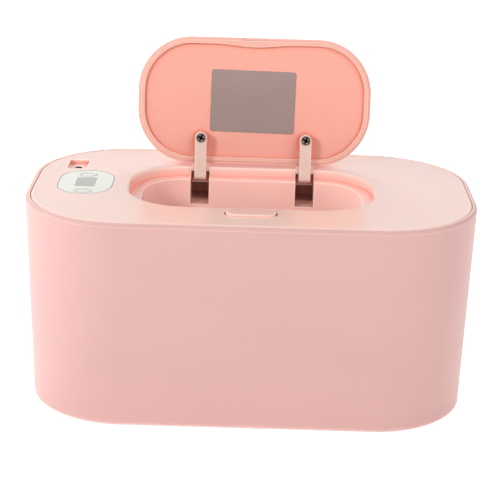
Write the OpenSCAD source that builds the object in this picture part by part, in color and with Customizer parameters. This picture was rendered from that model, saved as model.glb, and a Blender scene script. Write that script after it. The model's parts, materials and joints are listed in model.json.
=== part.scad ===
// Top-opening baby wipe warmer: a heated, insulated tub with a lift-off lid unit.
// The lid unit carries a sprung flap on two gooseneck arms, a push latch and the controls.
// Origin: centre of the footprint on the surface that it stands on. Front faces -Y, up is +Z.
// The flap is drawn fully open. Heights inside the lid unit are given down from its top face.

/* [Body] */
// Width of the body at its top edge
body_w = 240; // [226:1:280]
// Depth of the body at its top edge
body_d = 140; // [136:1:180]
// Height of the outer shell
shell_h = 112; // [90:1:140]
// Corner radius of the body in plan
corner_r = 53; // [48:0.5:60]
// How much the shell narrows on each side towards its foot
draft = 2.5; // [0:0.1:4]
// Wall of the outer shell
shell_wall = 2.6; // [2:0.1:3.5]
// Rounding of the shell's top outer edge
edge_r = 2.0; // [0.5:0.1:2]
// Width of the ledge inside the shell that carries the tub
ledge_w = 2.5; // [1.5:0.1:3]
// Width of the stop inside the shell that the base plate meets
stop_w = 3.0; // [2:0.1:4]

/* [Tub] */
// Thickness of the insulation between shell and tub
foam_t = 4.0; // [3:0.1:6]
// Wall of the tub
tub_wall = 1.6; // [1.2:0.1:2.5]
// Rounding between the tub's wall and its floor
tub_fillet = 6; // [3:0.5:10]
// Height of the tub's floor above the base plate
floor_lift = 6.4; // [5:0.1:15]
// Height of the ribs that keep the wipes off the floor
rib_h = 1.5; // [0.8:0.1:3]
// Distance between those ribs
rib_pitch = 17; // [12:1:24]

/* [Base] */
// How far the feet stand below the shell
foot_drop = 1.0; // [0.5:0.1:3]
// Radius of a foot
foot_r = 7; // [5:0.5:9]
// Thickness of the base plate
base_t = 2.2; // [1.6:0.1:3]
// How far the base plate is set up into the shell
base_inset = 0.4; // [0:0.1:1]

/* [Lid unit] */
// Gap between the shell and the top cover
cover_gap = 0.3; // [0.2:0.05:0.6]
// Thickness of the top cover
cover_t = 2.2; // [2:0.1:3]
// Height of the lid unit, from its top face to its underside
unit_h = 24; // [24:0.5:32]
// Depth of the top cover's skirt
skirt_h = 8; // [7:0.5:10]
// Wall of the under cover
pan_t = 2.0; // [1.5:0.1:3]
// Height of the rubber seal
seal_h = 2.0; // [1.5:0.1:3]
// Thickness of the heater plate
heater_t = 1.5; // [1:0.1:2.5]
// Thickness of the heating film
film_t = 0.6; // [0.4:0.1:1]

/* [Flap recess and well] */
// Width of the recess that the flap closes into
recess_w = 132.4; // [120:0.2:136]
// Depth of that recess from front to back
recess_d = 72.5; // [68:0.1:74]
// Its corner radius
recess_r = 31; // [26:0.5:34]
// Centre of the recess behind the centre of the body
recess_y = -1.5; // [-3:0.1:0]
// How far the flap's seat lies below the top face
recess_depth = 5.2; // [5.2:0.1:6]
// Width of the seat round the well
seat_w = 7; // [6:0.1:8]
// Wall of the recess and of the well
well_wall = 1.8; // [1.4:0.1:2.4]

/* [Flap] */
// Thickness of the flap
flap_t = 4.8; // [4.6:0.1:5]
// Gap at the flap's sides
flap_gap = 0.55; // [0.4:0.05:0.8]
// Gap behind the flap
flap_gap_rear = 0.95; // [0.9:0.05:1.2]
// Gap in front of the flap
flap_gap_front = 0.45; // [0.4:0.05:0.8]
// Rounding of the flap's outer edge
flap_edge_r = 2.5; // [1:0.1:2.8]
// Thickness of the flap's outer skin and its rim
flap_skin = 1.8; // [1.4:0.1:2]
// Width of the liner's raised lip
lip_w = 2.0; // [1.5:0.1:2.5]
// Angle that the flap opens through
open_angle = 101.5; // [90:0.5:104]

/* [Hinge] */
// Distance between the two hinge arms
arm_pitch = 59; // [50:1:64]
// Width of an arm
arm_w = 6.4; // [5:0.1:7]
// Thickness of an arm
arm_t = 1.6; // [1.2:0.1:2]
// How far an arm stands off the flap's rim
arm_standoff = 3.2; // [3:0.1:3.6]
// Distance from the flap's rear edge forward to the arm's screw
arm_reach = 14.6; // [12:0.2:20]
// Distance from the flap's rear edge back to the arm's bend
arm_tail = 10.7; // [10.2:0.1:11]
// How far the hinge axis lies behind the recess
hinge_back = 3.4; // [3.3:0.05:3.5]
// How far the hinge axis lies below the top face
hinge_drop = 3.2; // [3.1:0.05:3.3]
// Radius of the hinge pin
pin_r = 1.0; // [0.8:0.05:1.1]
// Radial clearance of the arm on its pin
pin_play = 0.05; // [0.02:0.01:0.1]
// Width of the pocket that an arm swings in
pocket_w = 10.4; // [10:0.1:12]
// Depth of that pocket below the top face
pocket_h = 20; // [18:0.1:20]
// Length of its floor, behind which it opens into the lid unit
pocket_floor_l = 12; // [9:0.5:14]
// Height of that opening
pocket_window_h = 7.5; // [5:0.5:8]

/* [Latch] */
// Width of the push button
button_w = 27; // [22:0.5:30]
// Depth of the push button from front to back
button_d = 10.8; // [10:0.1:11]
// How far the button stands above the top face
button_rise = 1.2; // [0.5:0.1:1.5]
// Gap round the push button
button_gap = 0.5; // [0.3:0.05:0.6]
// Travel of the button
button_travel = 1.6; // [1.2:0.1:1.6]
// Distance from the recess forward to the button's centre
button_back = 9.35; // [9.2:0.05:9.6]
// How far the bolt's nose reaches into the recess
nose_reach = 1.0; // [0.8:0.1:1.2]
// Travel of the bolt for each millimetre of the button's travel
cam_slope = 0.75; // [0.7:0.01:0.8]

/* [Controls] */
// Distance from the body's left edge to the control panel's centre
panel_inset = 29.9; // [28:0.1:32]
// Width of the control panel
panel_w = 29.2; // [26:0.1:30]
// Length of the control panel from front to back
panel_l = 42.4; // [40:0.1:46]
// Thickness of the control panel
panel_t = 1.5; // [1.2:0.1:1.8]
// Width of the display
lcd_w = 10.7; // [9:0.1:12]
// Length of the display from front to back
lcd_l = 16.8; // [14:0.1:18]
// Distance from the panel's centre to each touch key
key_y = 14.8; // [13.5:0.1:16]
// Thickness of the control board
board_t = 1.6; // [1:0.1:2]

/* [Power inlet] */
// Distance from the body's left edge to the power inlet's centre
jack_inset_x = 21.8; // [21:0.1:23]
// Distance from the body's rear edge to the power inlet's centre
jack_inset_y = 36.4; // [36:0.1:38]
// Width of the recess round the inlet
jack_recess_w = 11; // [10:0.1:12]
// Length of that recess from front to back
jack_recess_l = 17; // [15:0.1:18]
// Depth of that recess
jack_recess_h = 2.2; // [2:0.1:4]
// Bore of the inlet
jack_bore = 4.2; // [3.6:0.1:5.6]
// Diameter of the inlet's centre pin
jack_pin_d = 1.65; // [1.3:0.05:2.5]
// Depth of the inlet's bore
jack_depth = 9; // [8:0.5:11]

/* [Hidden] */
$fn = 96;
over = 1;             // how far a cut runs past the face that it leaves by
soft_gap = 0.3;       // gap left round foam and rubber
slide_gap = 0.1;      // gap between parts that slide on each other
seat_gap = 0.2;       // gap round a part that drops into its place
sink = 0.2;           // how far a screw's head or a glass lies below the face round it

shell_pink = [0.97, 0.76, 0.73];
cover_pink = [0.98, 0.84, 0.80];
flap_pink = [1.0, 0.70, 0.63];
arm_steel = [0.93, 0.84, 0.80];
tub_white = [0.95, 0.86, 0.84];
foam_grey = [0.80, 0.80, 0.78];
steel = [0.72, 0.72, 0.74];
dark = [0.15, 0.14, 0.14];
rubber_grey = [0.55, 0.52, 0.52];
copper = [0.76, 0.48, 0.28];
panel_white = [0.92, 0.93, 0.91];

shell_z = foot_drop;
top_z = shell_z + shell_h;
edge_z = top_z - edge_r;
plan_cx = body_w / 2 - corner_r;
plan_cy = body_d / 2 - corner_r;
base_z = shell_z + base_inset;
stop_z = base_z + base_t;
stop_t = 1.5;
foot_seat = 0.8;
foot_chamfer = 0.7;
foot_x = body_w / 2 - 30;
foot_y = body_d / 2 - 28;

// Lid unit, from the top face down
cover_in = shell_wall + cover_gap;
skirt_t = 2.0;
skirt_z = top_z - skirt_h;
flange_z = skirt_z - pan_t;
seal_z = flange_z - seal_h;
unit_z = top_z - unit_h;

// Tub, hung by its flange from the shell's ledge
flange_t = 2.0;
ledge_z = seal_z - flange_t;
ledge_t = 1.5;
tub_out = shell_wall + foam_t;
tub_in = tub_out + tub_wall;
floor_z = stop_z + floor_lift;
floor_t = 1.8;
floor_top = floor_z + floor_t;
rib_count = 5;
rib_l = 120;
rib_w = 1.6;
base_boss_r = 4;
base_boss = [for (x = [-1, 1], y = [-1, 1]) [x * (body_w / 2 - 41), y * (body_d / 2 - 40)]];

// Under cover and heater
pan_in = tub_in + draft * unit_h / shell_h + seat_gap;
heater_in = pan_in + 8;
heater_edge = 4;
film_z = unit_z - film_t;
heater_z = film_z - heater_t;
lid_boss = [for (x = [-1, 1], y = [-1, 1]) [x * (body_w / 2 - 32), y * (body_d / 2 - 32)]];
lid_boss_r = 3.2;
heater_boss = [[body_w / 2 - 25, 0], [25 - body_w / 2, 0], [0, body_d / 2 - 24], [0, 24 - body_d / 2]];
heater_post_h = 3;
small_screw = 1.1;
head_h = 1.3;
head_r = 2.4;
cover_screw_l = 12;
screw_bite = 1.5;

// Recess, seat and well
rear_y = recess_y + recess_d / 2;
front_y = recess_y - recess_d / 2;
well_w = recess_w - 2 * seat_w;
well_d = recess_d - 2 * seat_w;
well_r = recess_r - seat_w;
seat_z = top_z - recess_depth;
seat_t = 2.0;
recess_edge_r = 1.2;
cover_edge_r = 0.8;
seat_edge_r = 0.6;
seal_w = 3;
seal_r = 0.4;

// Flap, as it lies closed
flap_w = recess_w - 2 * flap_gap;
flap_d = recess_d - flap_gap_rear - flap_gap_front;
flap_r = recess_r - (flap_gap_rear + flap_gap_front) / 2;
flap_rear = rear_y - flap_gap_rear;
flap_y = flap_rear - flap_d / 2;
rim_z = top_z - flap_t;
liner_gap = 0.1;
liner_in = flap_skin + liner_gap;
liner_t = 1.2;
liner_z = top_z - flap_skin - liner_t;
lip_short = 0.2;
catch_w = 60;
catch_t = 0.8;

// Hinge: axis, arm and pocket
axis_y = rear_y + hinge_back;
axis_z = top_z - hinge_drop;
eye_wall = 0.9;
eye_r = pin_r + eye_wall;
arm_back_z = rim_z - arm_standoff;
arm_mid_z = arm_back_z - arm_t / 2;
screw_y = flap_rear - arm_reach;
bend_y = flap_rear + arm_tail - arm_t / 2;
arm_tip_r = arm_w / 2;
arm_boss_w = arm_w + 0.8;
arm_boss_l = 6.8;
arm_screw_r = 1.25;
arm_screw_head_r = 2.4;
arm_screw_head_h = 0.8;
arm_screw_bite = 1.2;
pocket_y = flap_rear + arm_tail + 2;
pocket_wall = 1.6;
pocket_z = top_z - pocket_h;
pocket_floor_y = rear_y - seat_w + pocket_floor_l;
pin_l = pocket_w + 2 * pocket_wall;

// Latch: cap, cam rib, bolt and bracket
button_y = front_y - button_back;
tab_w = 2.6;
tab_d = 3.6;
tab_t = 0.8;
tab_root = 2;
cap_edge_r = 0.6;
tab_z = top_z - cover_t - slide_gap / 2 - tab_t;
cap_t = 1.2;
bolt_w = 16;
bolt_t = 1.9;
bolt_top = top_z - cap_t - button_travel - slide_gap;
bolt_z = bolt_top - bolt_t;
nose_w = 12;
nose_t = 1.2;
nose_play = 0.3;
bolt_travel = button_travel * cam_slope;
bolt_back = front_y - well_wall - bolt_travel - slide_gap;
bolt_lead = 3.2;
bracket_top = bolt_z - slide_gap;
bracket_t = 1.6;
bracket_w = 43;
bracket_d = 10.5;
bracket_y = button_y - 6.5;
fence_t = 1.5;
cam_w = 1.8;
cam_d = 2.0;
cam_y = button_y - button_d / 4;
bolt_l = bolt_back - cam_y + bolt_lead;
guide_y = button_y + 0.5;
guide_r = 2.5;
guide_z = bracket_top - bracket_t;
cup_wall = 1.2;
cup_h = 7;
cup_floor = 1;
peg_h = 1.6;
coil_wire = 0.25;
latch_post_r = 2.2;
latch_screw_x = bracket_w / 2 - latch_post_r;
latch_screw_y = button_y - 1.5;
latch_screw_l = 4.5;

// Power inlet
jack_x = jack_inset_x - body_w / 2;
jack_y = body_d / 2 - jack_inset_y;
jack_floor = top_z - jack_recess_h;
jack_floor_t = 1.6;
jack_w = 9;
jack_l = 11;
jack_behind = 4.2;
jack_top = jack_floor - jack_floor_t;
jack_base_t = 1.5;
jack_z = jack_top - jack_depth - jack_base_t;
jack_root_r = jack_pin_d / 2 + 0.25;
jack_tail = 1;
jack_tip_h = 0.4;

// Controls
panel_x = panel_inset - body_w / 2;
panel_gap = 0.15;
panel_floor = top_z - panel_t;
panel_floor_t = 1.5;
panel_floor_rim = 2;
board_drop = 1.2;
board_z = panel_floor - panel_floor_t - board_drop - board_t;
board_w = 26;
board_gap = 1.8;
board_l = 2 * (jack_y + jack_behind - jack_l - board_gap);
board_screw_in = 3;
board_boss = [for (x = [-1, 1], y = [-1, 1])
    [panel_x + x * (board_w / 2 - board_screw_in), y * (board_l / 2 - board_screw_in)]];
board_boss_r = 2;
board_head_h = 1.2;
chip = [9, 7, 1.2];
driver = [6, 6, 3];
capacitor_r = 3;
capacitor_h = 6;
lcd_gap = 0.05;
key_r = 2.6;

// Wires and temperature sensor
wire_r = 0.9;
wire_bend = 2.5;
sensor = [6, 4, pan_t];
sensor_cap_r = 1.6;
sensor_cap_h = 1.5;
sensor_at = [panel_x + 12, 42 - body_d / 2];
lead_at = [panel_x + 8, 48 - body_d / 2];

// Face of a wall that lies inset from the shell's outer face, as a distance out from a corner's centre
function face_x(inset, z) =
    corner_r - inset - draft * (edge_z - min(z, edge_z)) / (edge_z - shell_z);

// ---- Shared shapes ----

module rounded_rect(w, d, r) {
    square([w - 2 * r, d], center = true);
    square([w, d - 2 * r], center = true);
    for (x = [-1, 1], y = [-1, 1])
        translate([x * (w / 2 - r), y * (d / 2 - r)]) circle(r);
}

module capsule(l, d) {
    square([l - d, d], center = true);
    for (x = [-1, 1]) translate([x * (l - d) / 2, 0]) circle(d / 2);
}

// The body's outline, drawn in by inset on every side
module plan(inset) rounded_rect(body_w - 2 * inset, body_d - 2 * inset, corner_r - inset);

// A rounded plate standing on z
module plate(w, d, r, y, z, t)
    translate([0, y, z]) linear_extrude(t) rounded_rect(w, d, r);

// A profile carried round a rounded rectangle whose corner centres lie at (+-cx, +-cy).
// Profile x is the distance out from those centres, and profile y is height.
module carry_round(cx, cy, y = 0) translate([0, y, 0]) {
    for (q = [0:3])
        translate([(q == 0 || q == 3) ? cx : -cx, q < 2 ? cy : -cy, 0])
            rotate([0, 0, 90 * q]) rotate_extrude(angle = 90) children();
    for (s = [0, 180]) {
        rotate([0, 0, s]) translate([cx, cy, 0]) rotate([90, 0, 0]) linear_extrude(2 * cy) children();
        rotate([0, 0, s + 90]) translate([cy, cx, 0]) rotate([90, 0, 0]) linear_extrude(2 * cx) children();
    }
}

// What a rounding of radius r takes off the corner at (x, z); out is 1 or -1, the side that x faces
module round_off(x, z, r, out = 1) translate([x - out * r, z - r]) difference() {
    scale([out, 1]) square(r + over);
    circle(r, $fn = 48);
}

// A plain band of a profile, from x0 to x1 and z0 to z1
module band(x0, x1, z0, z1) translate([min(x0, x1), z0]) square([abs(x1 - x0), z1 - z0]);

// A screw with its head below z = 0 and its shaft above it, with a cross recess
module screw(r, l, hr, hh) difference() {
    union() {
        translate([0, 0, -hh]) cylinder(h = hh, r = hr, $fn = 32);
        cylinder(h = l, r = r, $fn = 24);
    }
    for (a = [0, 90]) rotate([0, 0, a])
        translate([0, 0, -hh]) cube([hr * 1.2, hr * 0.3, hh], center = true);
}

// A wire swept through points. Its rings lie across the path, which never runs along the reference
module sweep(path, r, reference = [1, 0, 0], sides = 6) {
    n = len(path);
    rings = [for (i = [0:n - 1])
        let (
            t = path[min(i + 1, n - 1)] - path[max(i - 1, 0)],
            d = t / norm(t),
            u0 = cross(d, reference),
            u = u0 / norm(u0),
            v = cross(d, u)
        )
        for (k = [0:sides - 1]) path[i] + r * (cos(360 * k / sides) * u + sin(360 * k / sides) * v)];
    faces = concat(
        [[for (k = [0:sides - 1]) k]],
        [for (i = [0:n - 2], k = [0:sides - 1])
            [i * sides + k, (i + 1) * sides + k,
                (i + 1) * sides + (k + 1) % sides, i * sides + (k + 1) % sides]],
        [[for (k = [sides - 1:-1:0]) (n - 1) * sides + k]]);
    polyhedron(rings, faces);
}

// ---- Tub ----

module shell_profile() difference() {
    polygon([
        [face_x(0, shell_z), shell_z],
        [face_x(0, edge_z), edge_z],
        [face_x(0, edge_z), top_z],
        [face_x(shell_wall, top_z), top_z],
        [face_x(shell_wall, ledge_z), ledge_z],
        [face_x(shell_wall + ledge_w, ledge_z), ledge_z],
        [face_x(shell_wall + ledge_w, ledge_z), ledge_z - ledge_t],
        [face_x(shell_wall, ledge_z - ledge_t - ledge_w), ledge_z - ledge_t - ledge_w],
        [face_x(shell_wall, stop_z + stop_t + stop_w), stop_z + stop_t + stop_w],
        [face_x(shell_wall + stop_w, stop_z), stop_z + stop_t],
        [face_x(shell_wall + stop_w, stop_z), stop_z],
        [face_x(shell_wall, stop_z), stop_z],
        [face_x(shell_wall, shell_z), shell_z]
    ]);
    round_off(face_x(0, edge_z), top_z, edge_r);
}

module outer_shell() color(shell_pink) carry_round(plan_cx, plan_cy) shell_profile();

module tub_profile() {
    polygon([
        [face_x(tub_out, floor_z), floor_z],
        [face_x(tub_out, ledge_z), ledge_z],
        [face_x(shell_wall + seat_gap, ledge_z), ledge_z],
        [face_x(shell_wall + seat_gap, ledge_z), seal_z],
        [face_x(tub_in, seal_z), seal_z],
        [face_x(tub_in, floor_z), floor_z]
    ]);
    // rounding between the wall and the floor
    x = face_x(tub_in, floor_top + tub_fillet);
    difference() {
        band(x - tub_fillet, x + tub_wall / 4, floor_z, floor_top + tub_fillet);
        translate([x - tub_fillet, floor_top + tub_fillet]) circle(tub_fillet);
    }
}

module inner_tub() color(tub_white) difference() {
    union() {
        carry_round(plan_cx, plan_cy) tub_profile();
        translate([0, 0, floor_z]) linear_extrude(floor_t)
            plan(corner_r - face_x(tub_in, floor_z) + tub_fillet / 2);
        for (i = [0:rib_count - 1])
            translate([0, (i - (rib_count - 1) / 2) * rib_pitch, floor_top + rib_h / 2 - over / 2])
                cube([rib_l, rib_w, rib_h + over], center = true);
        for (p = base_boss) translate([p[0], p[1], stop_z])
            cylinder(h = floor_z - stop_z + over, r = base_boss_r);
    }
    for (p = base_boss) translate([p[0], p[1], stop_z - over])
        cylinder(h = floor_z - stop_z + over, r = small_screw + pin_play);
}

module side_insulation() color(foam_grey) carry_round(plan_cx, plan_cy) {
    foot = stop_z + stop_t + stop_w + soft_gap;
    head = ledge_z - ledge_t - ledge_w - soft_gap;
    polygon([
        [face_x(shell_wall + soft_gap, foot), foot],
        [face_x(shell_wall + soft_gap, head), head],
        [face_x(tub_out - soft_gap, head), head],
        [face_x(tub_out - soft_gap, foot), foot]
    ]);
}

module base_insulation() color(foam_grey) difference() {
    translate([0, 0, stop_z + soft_gap]) linear_extrude(floor_lift - 2 * soft_gap)
        plan(shell_wall + stop_w + draft + 2 * soft_gap);
    for (p = base_boss) translate([p[0], p[1], stop_z]) cylinder(h = floor_lift, r = base_boss_r + soft_gap);
}

module base_plate() color(shell_pink) difference() {
    translate([0, 0, base_z]) linear_extrude(base_t) plan(shell_wall + draft + seat_gap);
    for (x = [-1, 1], y = [-1, 1]) translate([x * foot_x, y * foot_y, base_z - over])
        cylinder(h = foot_seat + over, r = foot_r + seat_gap);
    for (p = base_boss) translate([p[0], p[1], base_z - over]) {
        cylinder(h = base_t + 2 * over, r = small_screw + seat_gap);
        cylinder(h = head_h + over, r = head_r + seat_gap);
    }
}

module rubber_feet() color(rubber_grey)
    for (x = [-1, 1], y = [-1, 1]) translate([x * foot_x, y * foot_y, 0])
        rotate_extrude() difference() {
            square([foot_r, base_z + foot_seat]);
            translate([foot_r, 0]) rotate([0, 0, 45]) square(foot_chamfer * sqrt(2), center = true);
        }

module base_screws() color(steel)
    for (p = base_boss) translate([p[0], p[1], base_z + head_h])
        screw(small_screw, floor_z - base_z - head_h - over, head_r, head_h - sink);

// ---- Lid unit: covers, seal and heater ----

module cover_edge() difference() {
    union() {
        band(face_x(cover_in, top_z), face_x(cover_in + 2 * skirt_t, top_z), top_z - cover_t, top_z);
        band(face_x(cover_in, top_z), face_x(cover_in + skirt_t, top_z), skirt_z, top_z);
    }
    round_off(face_x(cover_in, top_z), top_z, cover_edge_r);
}

// Solid stock of the top cover, before its hollows are cut
module cover_stock() {
    carry_round(plan_cx, plan_cy) cover_edge();
    translate([0, 0, top_z - cover_t]) linear_extrude(cover_t) plan(cover_in + skirt_t);
    plate(recess_w + 2 * well_wall, recess_d + 2 * well_wall, recess_r + well_wall, recess_y,
        seat_z - seat_t, recess_depth + seat_t - over);
    plate(well_w + 2 * well_wall, well_d + 2 * well_wall, well_r + well_wall, recess_y,
        unit_z, unit_h - recess_depth);
    for (s = [-1, 1]) translate([s * arm_pitch / 2 - pin_l / 2, rear_y - seat_w, pocket_z - pocket_wall])
        cube([pin_l, pocket_y + pocket_wall - rear_y + seat_w, pocket_h + pocket_wall - over]);
    for (p = lid_boss) translate([p[0], p[1], unit_z + pan_t])
        cylinder(h = unit_h - pan_t - over, r = lid_boss_r);
    // floor under the control panel, and the posts that its board hangs from
    translate([panel_x, 0, panel_floor - panel_floor_t]) linear_extrude(panel_floor_t)
        rotate([0, 0, 90]) capsule(panel_l + 2 * panel_floor_rim, panel_w + 2 * panel_floor_rim);
    for (p = board_boss) translate([p[0], p[1], board_z + board_t])
        cylinder(h = top_z - cover_t / 2 - board_z - board_t, r = board_boss_r);
    // floor and walls of the power inlet's recess
    translate([jack_x, jack_y, jack_top + (top_z - over - jack_top) / 2])
        cube([jack_recess_w + 2 * well_wall, jack_recess_l + 2 * well_wall, top_z - over - jack_top],
            center = true);
    // posts for the latch's bracket
    for (s = [-1, 1]) translate([s * latch_screw_x, latch_screw_y, bracket_top])
        cylinder(h = top_z - over - bracket_top, r = latch_post_r);
}

// Hollow that one arm swings in, with room above the hinge pin
module arm_pocket() {
    translate([-pocket_w / 2, rear_y - seat_w - over, pocket_z])
        cube([pocket_w, pocket_y - rear_y + seat_w + over, pocket_h - cover_t]);
    translate([-pocket_w / 2, axis_y - eye_r - soft_gap, axis_z])
        cube([pocket_w, 2 * (eye_r + soft_gap), eye_r + soft_gap]);
    translate([-pin_l / 2 - over, axis_y, axis_z]) rotate([0, 90, 0])
        cylinder(h = pin_l + 2 * over, r = pin_r + pin_play);
    // where the floor ends and the pocket opens into the lid unit
    translate([-pocket_w / 2, pocket_floor_y, pocket_z - pocket_wall - over])
        cube([pocket_w, pocket_y + pocket_wall + over - pocket_floor_y,
            pocket_window_h + pocket_wall + over]);
}

module top_cover() color(cover_pink) difference() {
    cover_stock();
    plate(recess_w, recess_d, recess_r, recess_y, seat_z, recess_depth + over);
    plate(well_w, well_d, well_r, recess_y, unit_z - over, unit_h + over);
    carry_round(recess_w / 2 - recess_r, recess_d / 2 - recess_r, recess_y)
        round_off(recess_r, top_z, recess_edge_r, -1);
    carry_round(well_w / 2 - well_r, well_d / 2 - well_r, recess_y)
        round_off(well_r, seat_z, seat_edge_r, -1);
    for (s = [-1, 1]) translate([s * arm_pitch / 2, 0, 0]) arm_pocket();
    for (p = lid_boss) translate([p[0], p[1], unit_z])
        cylinder(h = unit_h - cover_t - over, r = small_screw + pin_play);
    // control panel, its display window and the holes over its touch pads
    translate([panel_x, 0, panel_floor]) linear_extrude(panel_t + over)
        rotate([0, 0, 90]) capsule(panel_l + 2 * panel_gap, panel_w + 2 * panel_gap);
    translate([panel_x, 0, panel_floor])
        cube([lcd_w + 2 * panel_gap, lcd_l + 2 * panel_gap, 2 * (panel_floor_t + over)], center = true);
    for (s = [-1, 1]) translate([panel_x, s * key_y, panel_floor - panel_floor_t - over])
        cylinder(h = panel_floor_t + 2 * over, r = key_r + seat_gap);
    for (p = board_boss) translate([p[0], p[1], board_z])
        cylinder(h = board_t + screw_bite + soft_gap, r = small_screw + pin_play);
    // power inlet
    translate([jack_x, jack_y, jack_floor + jack_recess_h])
        cube([jack_recess_w, jack_recess_l, 2 * jack_recess_h], center = true);
    translate([jack_x, jack_y, jack_top - over])
        cylinder(h = jack_floor_t + 2 * over, r = jack_bore / 2 + slide_gap);
    // push button, the window for the bolt's nose and the bracket's screws
    translate([0, button_y, bracket_top]) linear_extrude(top_z)
        capsule(button_w + 2 * button_gap, button_d + 2 * button_gap);
    translate([0, front_y - well_wall, bolt_top - nose_t / 2])
        cube([nose_w + 2 * seat_gap, 4 * well_wall, nose_t + 2 * seat_gap], center = true);
    for (s = [-1, 1]) translate([s * latch_screw_x, latch_screw_y, bracket_top - over])
        cylinder(h = latch_screw_l - bracket_t + over + sink, r = small_screw + pin_play);
}

module pan_profile() {
    x = face_x(pan_in, unit_z);
    band(x, x - pan_t, unit_z, skirt_z);
    band(face_x(cover_in + 0.2, top_z), x - pan_t, flange_z, skirt_z);
}

module under_cover() color(tub_white) difference() {
    union() {
        carry_round(plan_cx, plan_cy) pan_profile();
        translate([0, 0, unit_z]) linear_extrude(pan_t) plan(corner_r - face_x(pan_in, unit_z) + pan_t / 2);
        for (p = heater_boss) translate([p[0], p[1], unit_z])
            cylinder(h = pan_t + heater_post_h, r = lid_boss_r);
    }
    plate(well_w + 2 * (well_wall + seat_gap), well_d + 2 * (well_wall + seat_gap),
        well_r + well_wall + seat_gap, recess_y, unit_z - over, pan_t + 2 * over);
    for (p = lid_boss) translate([p[0], p[1], unit_z - over]) {
        cylinder(h = pan_t + 2 * over, r = small_screw + seat_gap);
        cylinder(h = head_h + over, r = head_r + seat_gap);
    }
    for (p = heater_boss) translate([p[0], p[1], unit_z - over])
        cylinder(h = pan_t + heater_post_h, r = small_screw + pin_play);
    translate(concat(sensor_at, unit_z))
        cube(sensor + [2 * seat_gap, 2 * seat_gap, 2 * pan_t], center = true);
    translate(concat(lead_at, unit_z - over)) cylinder(h = pan_t + 2 * over, r = wire_r + seat_gap);
}

module cover_seal() color(rubber_grey) carry_round(plan_cx, plan_cy) difference() {
    x = face_x(shell_wall + 2 * soft_gap, ledge_z);
    band(x, x - seal_w, seal_z, flange_z);
    round_off(x, flange_z, seal_r);
}

module cover_screws() color(steel)
    for (p = lid_boss) translate([p[0], p[1], unit_z + head_h])
        screw(small_screw, cover_screw_l, head_r, head_h - sink);

// Ring under the lid unit, drawn in from its edge and from the well
module heater_ring(shrink) difference() {
    plan(heater_in + shrink);
    translate([0, recess_y]) rounded_rect(
        well_w + 2 * (well_wall + heater_edge + shrink), well_d + 2 * (well_wall + heater_edge + shrink),
        well_r + well_wall + heater_edge + shrink);
    for (p = heater_boss) translate(p) circle(small_screw + seat_gap);
}

module heater_plate() color(steel) translate([0, 0, heater_z]) linear_extrude(heater_t) heater_ring(0);

module heating_film() color(copper) translate([0, 0, film_z]) linear_extrude(film_t) heater_ring(1);

module heater_screws() color(steel)
    for (p = heater_boss) translate([p[0], p[1], heater_z])
        screw(small_screw, heater_t + film_t + pan_t + screw_bite, head_r, head_h - soft_gap);

// ---- Lid unit: electrics ----

module temperature_sensor() color(dark) translate(concat(sensor_at, unit_z)) {
    translate([0, 0, pan_t / 2]) cube(sensor, center = true);
    translate([0, 0, pan_t]) cylinder(h = sensor_cap_h, r = sensor_cap_r);
}

module control_panel() color(panel_white) translate([panel_x, 0, panel_floor]) difference() {
    linear_extrude(panel_t) rotate([0, 0, 90]) capsule(panel_l, panel_w);
    cube([lcd_w, lcd_l, 2 * panel_t + over], center = true);
}

module lcd_display() color([0.74, 0.74, 0.74])
    translate([panel_x, 0, (board_z + board_t + top_z - sink) / 2])
        cube([lcd_w - 2 * lcd_gap, lcd_l - 2 * lcd_gap, top_z - sink - board_z - board_t], center = true);

module touch_pads() color(dark)
    for (s = [-1, 1]) translate([panel_x, s * key_y, board_z + board_t])
        cylinder(h = panel_floor - board_z - board_t, r = key_r);

module control_board() color([0.10, 0.36, 0.22]) difference() {
    union() {
        translate([panel_x, 0, board_z + board_t / 2]) cube([board_w, board_l, board_t], center = true);
        // controller, driver and capacitor on the underside
        translate([panel_x - 2, 3, board_z - chip[2] / 2]) cube(chip + [0, 0, sink], center = true);
        translate([panel_x + 4, -12, board_z - driver[2] / 2]) cube(driver + [0, 0, sink], center = true);
        translate([panel_x - 6, -13, board_z - capacitor_h])
            cylinder(h = capacitor_h + sink, r = capacitor_r);
    }
    for (p = board_boss) translate([p[0], p[1], board_z - over])
        cylinder(h = board_t + 2 * over, r = small_screw + seat_gap);
}

module board_screws() color(steel)
    for (p = board_boss) translate([p[0], p[1], board_z])
        screw(small_screw, board_t + screw_bite, board_boss_r, board_head_h);

module dc_jack() color(dark) difference() {
    translate([jack_x - jack_w / 2, jack_y + jack_behind - jack_l, jack_z])
        cube([jack_w, jack_l, jack_top - jack_z]);
    translate([jack_x, jack_y, jack_top - jack_depth]) cylinder(h = jack_depth + over, r = jack_bore / 2);
    translate([jack_x, jack_y, jack_z - over]) cylinder(h = jack_depth, r = jack_root_r + pin_play);
}

module jack_pin() color(steel) translate([jack_x, jack_y, 0]) {
    translate([0, 0, jack_z - jack_tail]) cylinder(h = jack_base_t + jack_tail, r = jack_root_r);
    translate([0, 0, jack_z + jack_base_t]) cylinder(h = jack_depth - jack_tail, r = jack_pin_d / 2);
    translate([0, 0, jack_top - jack_tail])
        cylinder(h = jack_tip_h, r1 = jack_pin_d / 2, r2 = jack_pin_d / 2 - jack_tip_h);
}

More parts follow.
